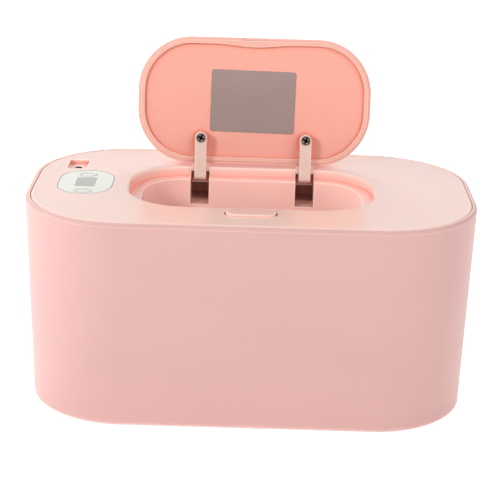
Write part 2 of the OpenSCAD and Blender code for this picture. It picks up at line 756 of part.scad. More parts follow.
module wiring_harness() color([0.75, 0.2, 0.18]) {
    // inlet to board
    sweep([
        [jack_x + 3, jack_y - 3, jack_z],
        [jack_x + 3, jack_y - 3, jack_z - wire_bend],
        [panel_x - 4, board_l / 2, jack_z - wire_bend],
        [panel_x - 4, board_l / 2 - 5, board_z - 2 * wire_bend],
        [panel_x - 4, board_l / 2 - 5, board_z]
    ], wire_r, sides = 8);
    // board to heating film, and board to sensor
    sweep([
        [panel_x + 8, -4, board_z],
        [panel_x + 8, -4, board_z - 2 * wire_bend],
        [lead_at[0], lead_at[1], unit_z + 3 * wire_bend],
        [lead_at[0], lead_at[1], unit_z]
    ], wire_r, sides = 8);
    sweep([
        [panel_x + 10.5, -6, board_z],
        [panel_x + 10.5, -6, board_z - 2 * wire_bend],
        [sensor_at[0], sensor_at[1], unit_z + 3 * wire_bend],
        [sensor_at[0], sensor_at[1], unit_z + pan_t + sensor_cap_h]
    ], wire_r, sides = 8);
}

// ---- Lid unit: latch ----

// Side view of the cam rib, whose two sloping faces drive the bolt, between two heights
function cam_at(z) = cam_y + cam_slope * (top_z - cover_t - z);

module cam_profile(z0, z1, grow) polygon([
    [cam_at(z0) - cam_d / 2 - grow, z0], [cam_at(z0) + cam_d / 2 + grow, z0],
    [cam_at(z1) + cam_d / 2 + grow, z1], [cam_at(z1) - cam_d / 2 - grow, z1]
]);

// A profile drawn in y and z, given a width across X
module across(w) rotate([90, 0, 90]) translate([0, 0, -w / 2]) linear_extrude(w) children();

module latch_button() color(cover_pink) {
    difference() {
        translate([0, button_y, top_z - cap_t]) linear_extrude(cap_t + button_rise)
            capsule(button_w, button_d);
        // shallow rounding of the cap's edge, straight sides and round ends
        for (s = [-1, 1]) {
            across(button_w - button_d) translate([button_y, 0])
                round_off(s * button_d / 2, top_z + button_rise, cap_edge_r, s);
            translate([s * (button_w - button_d) / 2, button_y, 0]) rotate([0, 0, s * 90 - 180])
                rotate_extrude(angle = 180) round_off(button_d / 2, top_z + button_rise, cap_edge_r);
        }
    }
    for (s = [-1, 1]) {
        translate([s * (button_w - tab_root) / 2, button_y, (top_z - cap_t + tab_z) / 2])
            cube([tab_root, tab_d, top_z - cap_t - tab_z], center = true);
        translate([s * (button_w / 2 - tab_root + tab_w), button_y, tab_z + tab_t / 2])
            cube([2 * tab_w, tab_d, tab_t], center = true);
    }
    across(cam_w) cam_profile(guide_z, top_z - cap_t + sink, 0);
    translate([0, guide_y, guide_z - peg_h]) cylinder(h = peg_h, r = guide_r);
}

module latch_bolt() color(panel_white) difference() {
    union() {
        translate([-bolt_w / 2, bolt_back - bolt_l, bolt_z]) cube([bolt_w, bolt_l, bolt_t]);
        // nose, sloped on top so that the closing flap can push it back
        across(nose_w) polygon([
            [bolt_back - over, bolt_top - nose_t], [bolt_back - over, bolt_top],
            [front_y, bolt_top], [front_y + nose_reach, bolt_top - nose_t / 2],
            [front_y + nose_reach, bolt_top - nose_t]
        ]);
    }
    across(cam_w + 4 * slide_gap) cam_profile(bolt_z - over, bolt_top + over, slide_gap);
}

module latch_bracket() color(panel_white) difference() {
    union() {
        translate([-bracket_w / 2, bracket_y, guide_z]) cube([bracket_w, bracket_d, bracket_t]);
        translate([0, guide_y, guide_z - cup_h])
            cylinder(h = cup_h + over, r = guide_r + slide_gap + cup_wall);
        // fences that guide the bolt
        for (s = [-1, 1])
            translate([s * (bolt_w / 2 + slide_gap + fence_t / 2) - fence_t / 2, bracket_y, guide_z])
                cube([fence_t, bracket_d, bolt_top - guide_z]);
    }
    translate([0, guide_y, guide_z - cup_h + cup_floor])
        cylinder(h = cup_h - cup_floor, r = guide_r + slide_gap);
    // slot that the cam rib travels through
    across(cam_w + 4 * slide_gap) {
        reach = cam_slope * button_travel + slide_gap;
        translate([cam_at(guide_z) - cam_d / 2 - cam_slope * bracket_t - reach, guide_z])
            square([cam_d + cam_slope * bracket_t + reach + slide_gap, bracket_t + over]);
    }
    for (s = [-1, 1]) translate([s * latch_screw_x, latch_screw_y, guide_z - over])
        cylinder(h = bracket_t + 2 * over, r = small_screw + seat_gap);
}

module latch_screws() color(steel)
    for (s = [-1, 1]) translate([s * latch_screw_x, latch_screw_y, guide_z])
        screw(small_screw, latch_screw_l, board_boss_r, board_head_h);

module latch_spring() color(steel) {
    z0 = guide_z - cup_h + cup_floor + coil_wire;
    z1 = guide_z - peg_h - coil_wire;
    turns = 4;
    steps = 16;
    r = guide_r - 2 * coil_wire;
    sweep([for (i = [0:turns * steps])
        let (
            a = 360 * i / steps,
            rise = max(0, min(1, (i - steps / 2) / ((turns - 1) * steps)))
        )
        [r * cos(a), guide_y + r * sin(a), z0 + (z1 - z0) * rise]
    ], coil_wire, [0, 0, 1]);
}

// ---- Hinge ----

// Turns what is drawn as closed about the hinge axis, to where it stands open
module opened() translate([0, axis_y, axis_z]) rotate([-open_angle, 0, 0]) translate([0, -axis_y, -axis_z])
    children();

module hinge_pins() color(steel)
    for (s = [-1, 1]) translate([s * arm_pitch / 2 - pin_l / 2, axis_y, axis_z])
        rotate([0, 90, 0]) cylinder(h = pin_l, r = pin_r);

// A torsion spring beside each arm: a leg along the pocket, three turns round the pin and a short leg
module flap_springs() color(steel) for (s = [-1, 1]) {
    r = pin_r + pin_play + 2 * coil_wire;
    x0 = s * (arm_pitch / 2 - arm_w / 2 - coil_wire - slide_gap);
    turns = 2.25;
    steps = 16;
    pitch = 2 * coil_wire + 0.02;
    coil = [for (i = [0:turns * steps])
        let (a = 360 * i / steps)
        [x0 - s * pitch * i / steps, axis_y + r * cos(a), axis_z - r * sin(a)]];
    last = coil[len(coil) - 1];
    sweep(concat([coil[0] + [0, 0, 0.1] + [0, 0.1, 0]], coil,
        [last + [0, 1.5, -0.3], last + [0, 3, -1.2], [last[0], pocket_y - 2 * coil_wire, axis_z - 7]]),
        coil_wire);
}

// Side view of an arm: strip, bend, web and eye, as it lies with the flap closed
module arm_profile() difference() {
    union() {
        translate([screw_y - arm_tip_r, arm_back_z - arm_t]) square([bend_y - screw_y + arm_tip_r, arm_t]);
        translate([bend_y, arm_mid_z]) circle(arm_t / 2, $fn = 32);
        run = [axis_y - bend_y, axis_z - arm_mid_z];
        translate([bend_y, arm_mid_z]) rotate([0, 0, atan2(run[1], run[0])])
            translate([0, -arm_t / 2]) square([norm(run), arm_t]);
        translate([axis_y, axis_z]) circle(eye_r);
    }
    translate([axis_y, axis_z]) circle(pin_r + pin_play);
}

module hinge_arm(s) color(arm_steel) opened() translate([s * arm_pitch / 2, 0, 0]) difference() {
    across(arm_w) arm_profile();
    translate([0, screw_y, arm_mid_z]) cylinder(h = arm_t + over, r = arm_screw_r + seat_gap, center = true);
    // round the strip's tip in plan
    translate([0, screw_y, arm_mid_z - arm_t]) linear_extrude(2 * arm_t) difference() {
        translate([-arm_w, -2 * arm_tip_r]) square([2 * arm_w, 2 * arm_tip_r]);
        circle(arm_tip_r);
    }
}

module hinge_arm_left() hinge_arm(-1);

module hinge_arm_right() hinge_arm(1);

module arm_screws() color(steel) opened()
    for (s = [-1, 1]) translate([s * arm_pitch / 2, screw_y, arm_back_z - arm_t])
        screw(arm_screw_r, arm_t + arm_standoff + arm_screw_bite, arm_screw_head_r, arm_screw_head_h);

// ---- Flap ----

module flap_edge() difference() {
    union() {
        band(flap_r, flap_r - 3 * flap_skin, top_z - flap_skin, top_z);
        band(flap_r, flap_r - flap_skin, rim_z, top_z);
    }
    round_off(flap_r, top_z, flap_edge_r);
}

module flap_cover() color(cover_pink) opened() difference() {
    union() {
        carry_round(flap_w / 2 - flap_r, flap_d / 2 - flap_r, flap_y) flap_edge();
        plate(flap_w - 4 * flap_skin, flap_d - 4 * flap_skin, flap_r - 2 * flap_skin, flap_y,
            top_z - flap_skin, flap_skin);
    }
    // notch that the bolt's nose drops into
    translate([0, flap_rear - flap_d, bolt_top - nose_t / 2])
        cube([nose_w + 4 * nose_play, 2 * (nose_reach + nose_play), nose_t + 2 * seat_gap], center = true);
}

module flap_liner() color(flap_pink) opened() difference() {
    lip_z = rim_z + lip_short;
    lip_r = flap_r - liner_in;
    union() {
        plate(flap_w - 2 * liner_in, flap_d - 2 * liner_in, lip_r, flap_y, liner_z, liner_t);
        carry_round(flap_w / 2 - flap_r, flap_d / 2 - flap_r, flap_y)
            band(lip_r - lip_w, lip_r, lip_z, liner_z + liner_t);
        // thicker stretch of the lip behind the catch
        translate([-catch_w / 2, flap_rear - flap_d + liner_in + lip_w / 2, lip_z])
            cube([catch_w, lip_w / 2 + catch_t, liner_z - lip_z + liner_t / 2]);
        // bosses that carry the arms
        for (s = [-1, 1]) translate([s * arm_pitch / 2, screw_y, arm_back_z])
            linear_extrude(liner_z - arm_back_z + liner_t / 2) {
                circle(arm_boss_w / 2);
                translate([-arm_boss_w / 2, 0]) square([arm_boss_w, arm_boss_l]);
            }
    }
    for (s = [-1, 1]) translate([s * arm_pitch / 2, screw_y, arm_back_z - over])
        cylinder(h = arm_standoff + over + arm_screw_bite + sink, r = arm_screw_r + pin_play);
}

// ---- Assembly ----

outer_shell();
inner_tub();
side_insulation();
base_insulation();
base_plate();
rubber_feet();
base_screws();
top_cover();
under_cover();
cover_seal();
cover_screws();
heater_plate();
heating_film();
heater_screws();
temperature_sensor();
control_panel();
lcd_display();
touch_pads();
control_board();
board_screws();
dc_jack();
jack_pin();
wiring_harness();
latch_bracket();
latch_screws();
latch_spring();
latch_button();
latch_bolt();
hinge_pins();
flap_springs();
flap_cover();
flap_liner();
hinge_arm_left();
hinge_arm_right();
arm_screws();
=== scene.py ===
"""Finishes the baby wipe warmer and sets it in a plain pale studio.

Lengths are in millimetres here and become metres where a mesh is made. What belongs to the flap is worked
out as it lies closed, face down in its recess, and is then turned open about the hinge axis, as the solids
are.
"""
import json
import math

import bmesh
import bpy
import numpy as np
from mathutils import Matrix, Vector


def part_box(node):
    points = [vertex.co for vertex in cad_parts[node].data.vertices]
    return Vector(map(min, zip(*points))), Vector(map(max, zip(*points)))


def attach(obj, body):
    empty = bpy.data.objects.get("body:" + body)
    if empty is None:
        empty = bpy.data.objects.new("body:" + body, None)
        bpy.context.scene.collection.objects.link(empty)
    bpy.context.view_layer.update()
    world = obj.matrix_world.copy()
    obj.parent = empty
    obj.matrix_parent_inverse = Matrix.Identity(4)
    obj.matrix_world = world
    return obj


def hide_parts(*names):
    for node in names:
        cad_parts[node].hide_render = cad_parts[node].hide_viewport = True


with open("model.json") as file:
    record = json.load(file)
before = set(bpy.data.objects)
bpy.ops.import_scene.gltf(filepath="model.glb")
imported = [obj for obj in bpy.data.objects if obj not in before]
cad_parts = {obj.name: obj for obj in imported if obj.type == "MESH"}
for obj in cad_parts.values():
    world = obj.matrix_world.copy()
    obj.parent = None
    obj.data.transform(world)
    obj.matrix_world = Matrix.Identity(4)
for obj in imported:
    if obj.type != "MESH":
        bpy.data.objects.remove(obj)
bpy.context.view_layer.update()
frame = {"nodes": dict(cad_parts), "record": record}
MM = 0.001


# ---- Colours, as they look in print, 0 to 255 ----

SHELL_PINK = (214, 170, 165)
COVER_PINK = (255, 215, 204)
BUTTON_PINK = (247, 199, 186)
FLAP_PINK = (241, 196, 184)
LIP_PINK = (238, 182, 166)
LINER_PINK = (249, 176, 160)
TUB_PINK = (238, 192, 184)
PANEL_WHITE = (235, 237, 229)
KEY_WHITE = (243, 242, 236)
# grey for lines of painted shade beside the key rings and over the panel's gap
SHADE_LINE_GREY = (132, 124, 118)
DISPLAY_GREY = (180, 180, 176)
LABEL_GREY = (156, 136, 131)
INLET_BLACK = (36, 24, 22)
LATCH_WHITE = (226, 224, 216)
RUBBER_GREY = (150, 138, 136)
FOAM_GREY = (208, 206, 200)
BOARD_GREEN = (20, 84, 52)
FILM_AMBER = (196, 128, 58)
WIRE_RED = (150, 44, 38)
ARM_METAL = (248, 222, 207)
SCREW_DARK = (96, 84, 78)
SCREW_BRIGHT = (196, 182, 172)
# painted shade in the screws' cross recesses and round their heads
PAINTED_SHADE_BLACK = (24, 20, 18)
STEEL = (190, 190, 194)
BACKDROP = (250, 246, 245)

# Painted shade for hollows, painted highlights for outward edges and a painted glow for the well: the tones
# that those colours are taken to
COVER_PAINTED_SHADE = (240, 168, 154)
LINER_PAINTED_SHADE = (247, 146, 123)
ARM_PAINTED_SHADE = (150, 104, 88)
SHELL_PAINTED_HIGHLIGHT = (246, 212, 204)
COVER_PAINTED_HIGHLIGHT = (255, 238, 228)
ARM_PAINTED_HIGHLIGHT = (255, 238, 226)
WELL_PAINTED_GLOW = (255, 64, 60)


def linear(colour, factor=1.0):
    """The linear colour of a printed one: each channel over 255, with the screen's curve undone. A factor
    makes it paler or deeper."""
    c = np.array(colour, float) / 255.0
    c = np.where(c <= 0.04045, c / 12.92, ((c + 0.055) / 1.055) ** 2.4)
    return (*np.minimum(c * factor, 1.0).tolist(), 1.0)


# ---- Nodes ----

MIX_SHARE, MIX_FIRST, MIX_SECOND, MIX_RESULT = 0, 6, 7, 2     # the sockets of a Mix node that mixes colours
NOISE_LOW, NOISE_HIGH = 0.3, 0.7                              # noise seldom goes past these


class Nodes:
    """The nodes of a material or of the world. An input takes a number, a colour or a node's output."""

    def __init__(self, tree):
        self.tree = tree

    def plug(self, inlet, value):
        """Gives an input its value, or links it where the value is another node's output."""
        if isinstance(value, bpy.types.NodeSocket):
            self.tree.links.new(value, inlet)
        else:
            inlet.default_value = value

    def add(self, kind, settings=(), *values):
        """A new node. A setting that bears an input's name goes to that input, and the values that follow go
        to its inputs in their order."""
        node = self.tree.nodes.new(kind)
        for name, value in dict(settings).items():
            if name in node.inputs:
                self.plug(node.inputs[name], value)
            else:
                setattr(node, name, value)
        for inlet, value in zip(node.inputs, values):
            self.plug(inlet, value)
        return node

    def maths(self, operation, first, second):
        """The sum, product or other result of two values."""
        return self.add("ShaderNodeMath", {"operation": operation}, first, second).outputs[0]

    def ramp(self, source, start, end, low=0.0, high=1.0):
        """A value that goes evenly from low to high while the source goes from start to end."""
        return self.add("ShaderNodeMapRange", (), source, start, end, low, high).outputs["Result"]

    def mix(self, share, first, second):
        """The colour that lies between two at a share from 0 to 1."""
        node = self.add("ShaderNodeMix", {"data_type": "RGBA"})
        for socket, value in ((MIX_SHARE, share), (MIX_FIRST, first), (MIX_SECOND, second)):
            self.plug(node.inputs[socket], value)
        return node.outputs[MIX_RESULT]

    def noise(self, cells, detail, stretch=(1, 1, 1)):
        """Noise in the object's own coordinates, with so many cells to the metre, drawn out along each axis
        by stretch."""
        place = self.add("ShaderNodeTexCoord").outputs["Object"]
        spread = self.add("ShaderNodeMapping", {"Vector": place, "Scale": stretch}).outputs["Vector"]
        grain = self.add("ShaderNodeTexNoise", {"Vector": spread, "Scale": cells, "Detail": detail})
        return grain.outputs["Fac"]

    def varied(self, noise, low=0.0, high=1.0):
        """Noise turned into a value from low to high."""
        return self.ramp(noise, NOISE_LOW, NOISE_HIGH, low, high)


def parts_of(material):
    """A material's nodes and its shader."""
    return Nodes(material.node_tree), material.node_tree.nodes["Principled BSDF"]


def new_material(name):
    """An empty material, with its nodes and its shader."""
    material = bpy.data.materials.new(name)
    material.use_nodes = True
    return material, *parts_of(material)


def source_of(inlet):
    """The output that an input is linked to."""
    return inlet.links[0].from_socket


# ---- Finishes ----

FLOW_CELLS, FLOW_STRETCH = 14, (1, 1, 2.5)      # the melt's flow, drawn out along the height
HAZE_CELLS = 160                                # the patches that handling leaves in a gloss
SMOOTH, ROUGH = 2.0, 4.0                        # how much fine detail a noise has
MOULDED_DRIFT, METAL_DRIFT = 0.05, 0.2          # the share by which the gloss of either varies
METAL_DEEP, METAL_PALE = 0.9, 1.06              # how far a metal's colour varies
EDGE_RAYS, CREASE_RAYS = 6, 8                   # rays that look for what lies near a place
SPARK_DEPTH, PIT_DEPTH = 0.02, 0.03             # how deep a tool's spark grain and a blasted face's pits go
MILKY_SPREAD = (1.0, 0.35, 0.25)                # how far red, green and blue light travel in the plastic
CREASE_OPEN, CREASE_CLOSED = 0.95, 0.4      # how open a place is where a painted shade or highlight sets in and where it is full


def moulded(name, colour, roughness=0.3, grain=0.15, grain_size=0.45, drift=0.015, coat=0.0,
            coat_roughness=0.12, subsurface=0.0, depth=1.5, edge=0.0):
    """Moulded plastic: a colour that drifts slightly with the melt's flow, a fine spark grain in the tool's
    face, a gloss that varies a little, as it does over handled surfaces, and edges broken by that radius."""
    material, nodes, shader = new_material(name)
    flow = nodes.varied(nodes.noise(FLOW_CELLS, SMOOTH, FLOW_STRETCH))
    haze = nodes.noise(HAZE_CELLS, ROUGH)
    spark = nodes.noise(1 / (grain_size * MM), SMOOTH)
    bump = nodes.add("ShaderNodeBump", {"Strength": grain, "Distance": SPARK_DEPTH * MM, "Height": spark})
    if edge:
        broken = nodes.add("ShaderNodeBevel", {"samples": EDGE_RAYS, "Radius": edge * MM})
        nodes.plug(bump.inputs["Normal"], broken.outputs["Normal"])
    looks = {
        "Base Color": nodes.mix(flow, linear(colour, 1 - drift), linear(colour, 1 + drift)),
        "Roughness": nodes.varied(haze, roughness * (1 - MOULDED_DRIFT), roughness * (1 + MOULDED_DRIFT)),
        "Normal": bump.outputs["Normal"],
        "Coat Weight": coat,
        "Coat Roughness": coat_roughness,
        "Subsurface Weight": subsurface,
        "Subsurface Radius": MILKY_SPREAD,
        "Subsurface Scale": depth * MM}
    for inlet, value in looks.items():
        nodes.plug(shader.inputs[inlet], value)
    return material


def metal(name, colour, roughness=0.35, grain=0.3, grain_size=0.3, stretch=(1, 1, 1), share=1.0):
    """Bare metal with the fine pits of blasting, or with the lines of drawing where stretch is uneven. A
    share below one lets part of the light scatter, as on a blasted face."""
    material, nodes, shader = new_material(name)
    pits = nodes.noise(1 / (grain_size * MM), ROUGH, stretch)
    bump = nodes.add("ShaderNodeBump", {"Strength": grain, "Distance": PIT_DEPTH * MM, "Height": pits})
    looks = {
        "Base Color": nodes.mix(nodes.varied(pits), linear(colour, METAL_DEEP), linear(colour, METAL_PALE)),
        "Metallic": share,
        "Roughness": nodes.varied(pits, roughness * (1 - METAL_DRIFT), roughness * (1 + METAL_DRIFT)),
        "Normal": bump.outputs["Normal"]}
    for inlet, value in looks.items():
        nodes.plug(shader.inputs[inlet], value)
    return material


def shade_painted_by_attribute(material, colour):
    """Paints shade into a material: takes its colour to a darker one where the piece's attribute of painted
    shade says so.
    """
    nodes, shader = parts_of(material)
    base = shader.inputs["Base Color"]
    grime = nodes.add("ShaderNodeAttribute", {"attribute_name": "grime"}).outputs["Fac"]
    nodes.plug(base, nodes.mix(grime, source_of(base), linear(colour)))
    return material


def closed_in(nodes, distance, inside):
    """How far a place is closed in by what lies within that distance of it: outside the surface, where it
    marks a hollow, or inside, where it marks an outward edge."""
    near = nodes.add("ShaderNodeAmbientOcclusion", {
        "samples": CREASE_RAYS, "inside": inside, "only_local": inside, "Distance": distance * MM})
    return nodes.ramp(near.outputs["AO"], CREASE_OPEN, CREASE_CLOSED)


def shade_painted_in_hollows(material, tone, reach):
    """Paints shade into hollows: takes a material's colour to a deep tone where a place is closed in within
    that reach, a painted shade for the light caught and bounced there. A hollow loses its coat's gloss too,
    a painted dimming of its reflection."""
    nodes, shader = parts_of(material)
    base, coat = shader.inputs["Base Color"], shader.inputs["Coat Weight"]
    # Painted shade: how far the place lies in a hollow, where shade falls
    shade_mask = closed_in(nodes, reach, inside=False)
    nodes.plug(base, nodes.mix(shade_mask, source_of(base), linear(tone)))
    if coat.default_value:
        nodes.plug(coat, nodes.ramp(shade_mask, 0, 1, coat.default_value, 0))


def highlight_painted_on_edges(material, tone, width, highlight_glow):
    """Paints a highlight along outward edges: takes a material's colour to a pale tone there, over that
    width, and adds a faint emitted glow in that tone, a painted highlight that stands for light caught at
    the edges."""
    nodes, shader = parts_of(material)
    base = shader.inputs["Base Color"]
    # Painted highlight: how far the place lies on an outward edge
    edge = closed_in(nodes, width, inside=True)
    nodes.plug(base, nodes.mix(edge, source_of(base), linear(tone)))
    nodes.plug(shader.inputs["Emission Color"], linear(tone))
    nodes.plug(shader.inputs["Emission Strength"], nodes.ramp(edge, 0, 1, 0, highlight_glow))


SEAT_Z = 107.8             # the seat that the closed flap rests on
PAINTED_GLOW_HEIGHT = 2.0          # how far the painted glow takes to fade out above it
# the oval that the painted glow fills round the well, and how far it fades past its edge
PAINTED_GLOW_W, PAINTED_GLOW_D = 152.0, 88.0
PAINTED_GLOW_FADE = 2.0
POCKET_Y = 28.1            # where the arms' pockets start, just behind the well's rear wall
STEP = 0.2                 # over which a share goes from nought to one at a corner


def glow_painted_in_well(material, tone, strength):
    """Paints a faint glow into the seat and the walls of the well, a painted light that stands for the
    warmer light bounced between its pink walls. It fills an oval round the well from the seat down and
    leaves out the arms' dark pockets: its share is one in the oval, times one below the seat, times one
    outside the pockets."""
    nodes, shader = parts_of(material)
    colour, power = shader.inputs["Emission Color"], shader.inputs["Emission Strength"]
    place = nodes.add("ShaderNodeTexCoord").outputs["Object"]
    _, y, z = nodes.add("ShaderNodeSeparateXYZ", (), place).outputs
    squeeze = (PAINTED_GLOW_D / PAINTED_GLOW_W, 1.0, 0.0)
    squeezed = nodes.add("ShaderNodeVectorMath", {"operation": "MULTIPLY"}, place, squeeze).outputs[0]
    distance = nodes.add("ShaderNodeVectorMath", {"operation": "LENGTH"}, squeezed).outputs["Value"]

    def past(source, start, end):
        return nodes.ramp(source, start * MM, end * MM)

    oval = past(distance, PAINTED_GLOW_D / 2 + PAINTED_GLOW_FADE, PAINTED_GLOW_D / 2)
    low = past(z, SEAT_Z - STEP + PAINTED_GLOW_HEIGHT, SEAT_Z - STEP)
    behind = past(y, POCKET_Y, POCKET_Y + STEP)
    under = past(z, SEAT_Z - STEP, SEAT_Z - 2 * STEP)
    in_well = nodes.maths("MULTIPLY", oval, low)
    out_of_pocket = nodes.maths("SUBTRACT", 1.0, nodes.maths("MULTIPLY", behind, under))
    share = nodes.maths("MULTIPLY", in_well, out_of_pocket)
    # The painted glow's strength
    glow = nodes.maths("MULTIPLY", share, strength)
    nodes.plug(colour, nodes.mix(share, tuple(colour.default_value), linear(tone)))
    nodes.plug(power, nodes.maths("MAXIMUM", glow, source_of(power)))


shell_plastic = moulded("shell_plastic", SHELL_PINK, roughness=0.4)
cover_plastic = moulded("cover_plastic", COVER_PINK, coat=0.9, coat_roughness=0.2, subsurface=0.3, depth=2.5,
                        edge=0.2)
button_plastic = moulded("button_plastic", BUTTON_PINK, coat=0.5, coat_roughness=0.2, edge=0.3)
flap_plastic = moulded("flap_plastic", FLAP_PINK, coat=0.9, coat_roughness=0.2)
lip_plastic = moulded("lip_plastic", LIP_PINK, coat=0.2, subsurface=0.2)
liner_plastic = moulded("liner_plastic", LINER_PINK, roughness=0.4, subsurface=0.35, depth=2.5)
tub_plastic = moulded("tub_plastic", TUB_PINK, roughness=0.42, grain=0.3)
panel_plastic = moulded("panel_plastic", PANEL_WHITE, roughness=0.25, grain=0.05, drift=0.01, coat=0.3,
                        edge=0.2)
key_plastic = moulded("key_plastic", KEY_WHITE, grain=0.05, drift=0.01)
# Grey for the lines of painted shade beside the key rings and over the panel's gap
shade_line_paint = moulded("shade_line_paint", SHADE_LINE_GREY, roughness=0.5, grain=0.1, drift=0.05)
display_glass = moulded("display_glass", DISPLAY_GREY, roughness=0.15, grain=0.02, drift=0.02, coat=0.4)
label_film = moulded("label_film", LABEL_GREY, roughness=0.45, grain=0.2, drift=0.04)
inlet_plastic = moulded("inlet_plastic", INLET_BLACK, roughness=0.5, grain=0.3, drift=0.1)
latch_plastic = moulded("latch_plastic", LATCH_WHITE, roughness=0.4, grain=0.2)
seal_rubber = moulded("seal_rubber", RUBBER_GREY, roughness=0.75, grain=0.6, grain_size=0.6, drift=0.06)
foam = moulded("foam", FOAM_GREY, roughness=0.95, grain=1.0, grain_size=1.2, drift=0.05)
board_lacquer = moulded("board_lacquer", BOARD_GREEN, roughness=0.35, grain=0.2, drift=0.1)
heater_film = moulded("heater_film", FILM_AMBER, grain=0.1, drift=0.15)
wire_sleeve = moulded("wire_sleeve", WIRE_RED, roughness=0.45, grain=0.2)
blasted_steel = metal("blasted_steel", ARM_METAL, roughness=0.5, grain=0.9, grain_size=0.55, share=0.3)
screw_steel = metal("screw_steel", STEEL, roughness=0.28, grain=0.15)
dark_screw_steel = metal("dark_screw_steel", SCREW_DARK, roughness=0.3, grain=0.2)
# The screws' steel, with painted shade where the piece's attribute says so
capped_screw_steel = shade_painted_by_attribute(metal("capped_screw_steel", SCREW_BRIGHT, roughness=0.3, grain=0.2), PAINTED_SHADE_BLACK)
sheet_steel = metal("sheet_steel", STEEL, roughness=0.38, grain=0.2, grain_size=0.4, stretch=(0.05, 1, 1))

# Painted shade in the hollows of each material
shade_painted_in_hollows(cover_plastic, COVER_PAINTED_SHADE, reach=5.0)
shade_painted_in_hollows(button_plastic, COVER_PAINTED_SHADE, reach=1.0)
shade_painted_in_hollows(flap_plastic, COVER_PAINTED_SHADE, reach=2.0)
shade_painted_in_hollows(lip_plastic, LINER_PAINTED_SHADE, reach=1.2)
shade_painted_in_hollows(liner_plastic, LINER_PAINTED_SHADE, reach=3.0)
shade_painted_in_hollows(blasted_steel, ARM_PAINTED_SHADE, reach=1.5)
# Painted highlights along outward edges, with a faint glow
highlight_painted_on_edges(shell_plastic, SHELL_PAINTED_HIGHLIGHT, width=1.8, highlight_glow=0.1)
highlight_painted_on_edges(cover_plastic, COVER_PAINTED_HIGHLIGHT, width=1.2, highlight_glow=0.2)
highlight_painted_on_edges(button_plastic, COVER_PAINTED_HIGHLIGHT, width=1.3, highlight_glow=0.14)
highlight_painted_on_edges(lip_plastic, COVER_PAINTED_HIGHLIGHT, width=0.8, highlight_glow=0.1)
highlight_painted_on_edges(blasted_steel, ARM_PAINTED_HIGHLIGHT, width=0.6, highlight_glow=0.25)
# A painted glow in the well
glow_painted_in_well(cover_plastic, WELL_PAINTED_GLOW, strength=0.12)

FINISHES = {
    shell_plastic: ["outer_shell", "base_plate"],
    cover_plastic: ["top_cover", "latch_button", "flap_cover"],
    liner_plastic: ["flap_liner"],
    tub_plastic: ["inner_tub", "under_cover"],
    panel_plastic: ["control_panel"],
    display_glass: ["lcd_display"],
    inlet_plastic: ["dc_jack", "touch_pads", "temperature_sensor"],
    latch_plastic: ["latch_bolt", "latch_bracket"],
    seal_rubber: ["rubber_feet", "cover_seal"],
    foam: ["side_insulation", "base_insulation"],
    board_lacquer: ["control_board"],
    heater_film: ["heating_film"],
    wire_sleeve: ["wiring_harness"],
    blasted_steel: ["hinge_arm_left", "hinge_arm_right"],
    dark_screw_steel: ["arm_screws"],
    sheet_steel: ["heater_plate"],
    screw_steel: ["base_screws", "cover_screws", "heater_screws", "board_screws", "latch_screws",
                  "latch_spring", "flap_springs", "hinge_pins", "jack_pin"],
}
for finish, names in FINISHES.items():
    for node_name in names:
        for slot in frame["nodes"][node_name].material_slots:
            slot.material = finish


# ---- Places, from the frame ----

def node_box(name):
    """A node's lowest and highest corners, in millimetres."""
    low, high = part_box(name)
    return np.array(low) / MM, np.array(high) / MM


hinge = next(j for j in frame["record"]["behaviour"]["joints"] if j["name"] == "flap_hinge")
AXIS_Y, AXIS_Z = hinge["pos_m"][1] / MM, hinge["pos_m"][2] / MM
OPEN_ANGLE = math.radians(hinge["range_deg"][1])


def opened(points):
    """Points of the closed flap turned about the hinge axis: y and z, taken from the axis, turn by the open
    angle."""
    y, z = points[..., 1] - AXIS_Y, points[..., 2] - AXIS_Z
    c, s = math.cos(OPEN_ANGLE), math.sin(OPEN_ANGLE)
    return np.stack([points[..., 0], AXIS_Y + y * c + z * s, AXIS_Z - y * s + z * c], axis=-1)


# ---- Shapes ----

ARC_STEPS = 6             # steps in the rounding of an edge
GUARD = 0.08              # how near a rounding the flat beside it gets its first row of points
SIDE_GUARD = 0.3          # the same along a side, as a share of one of its steps
HUB = 1.0                 # the radius at which a profile stops short of its outline's centres
HALF_ROUND = 0.01         # what a fully rounded end leaves straight
FINE_EDGE = 0.1           # the rounding of an edge that is barely broken
MERGE = 1e-7              # metres, within which points are one


def profile_of(corners, closed=False):
    """A profile through corners given as (across, up, radius). Each corner becomes an arc that touches both
    of its sides: its centre lies on the bisector, and its points swing from one tangent to the other. A
    point just outside each tangent keeps the flat beside the arc flat when it is shaded."""
    corners = [np.array(c, float) for c in corners]
    count = len(corners)
    rows = []
    for i, (x, z, r) in enumerate(corners):
        here = np.array([x, z])
        if r <= 0 or (not closed and i in (0, count - 1)):
            rows.append(here[None])
            continue
        before = corners[i - 1][:2] - here
        after = corners[(i + 1) % count][:2] - here
        before, after = before / np.linalg.norm(before), after / np.linalg.norm(after)
        half = math.acos(np.clip(before @ after, -1, 1)) / 2
        reach = r / math.tan(half)
        bisector = (before + after) / np.linalg.norm(before + after)
        centre = here + bisector * r / math.sin(half)
        start, end = here + before * reach - centre, here + after * reach - centre
        turn = math.atan2(start[0] * end[1] - start[1] * end[0], start @ end)
        a = np.linspace(0, turn, ARC_STEPS + 1)
        arc = centre + np.stack([start[0] * np.cos(a) - start[1] * np.sin(a),
                                 start[0] * np.sin(a) + start[1] * np.cos(a)], axis=-1)
        rows += [(here + before * (reach + GUARD))[None], arc, (here + after * (reach + GUARD))[None]]
    return np.concatenate(rows)


def band(start, end, foot, top, edge=0.0):
    """The profile of a raised band between two insets, open at its foot."""
    return profile_of([(start, foot, 0), (start, top, edge), (end, top, edge), (end, foot, 0)])


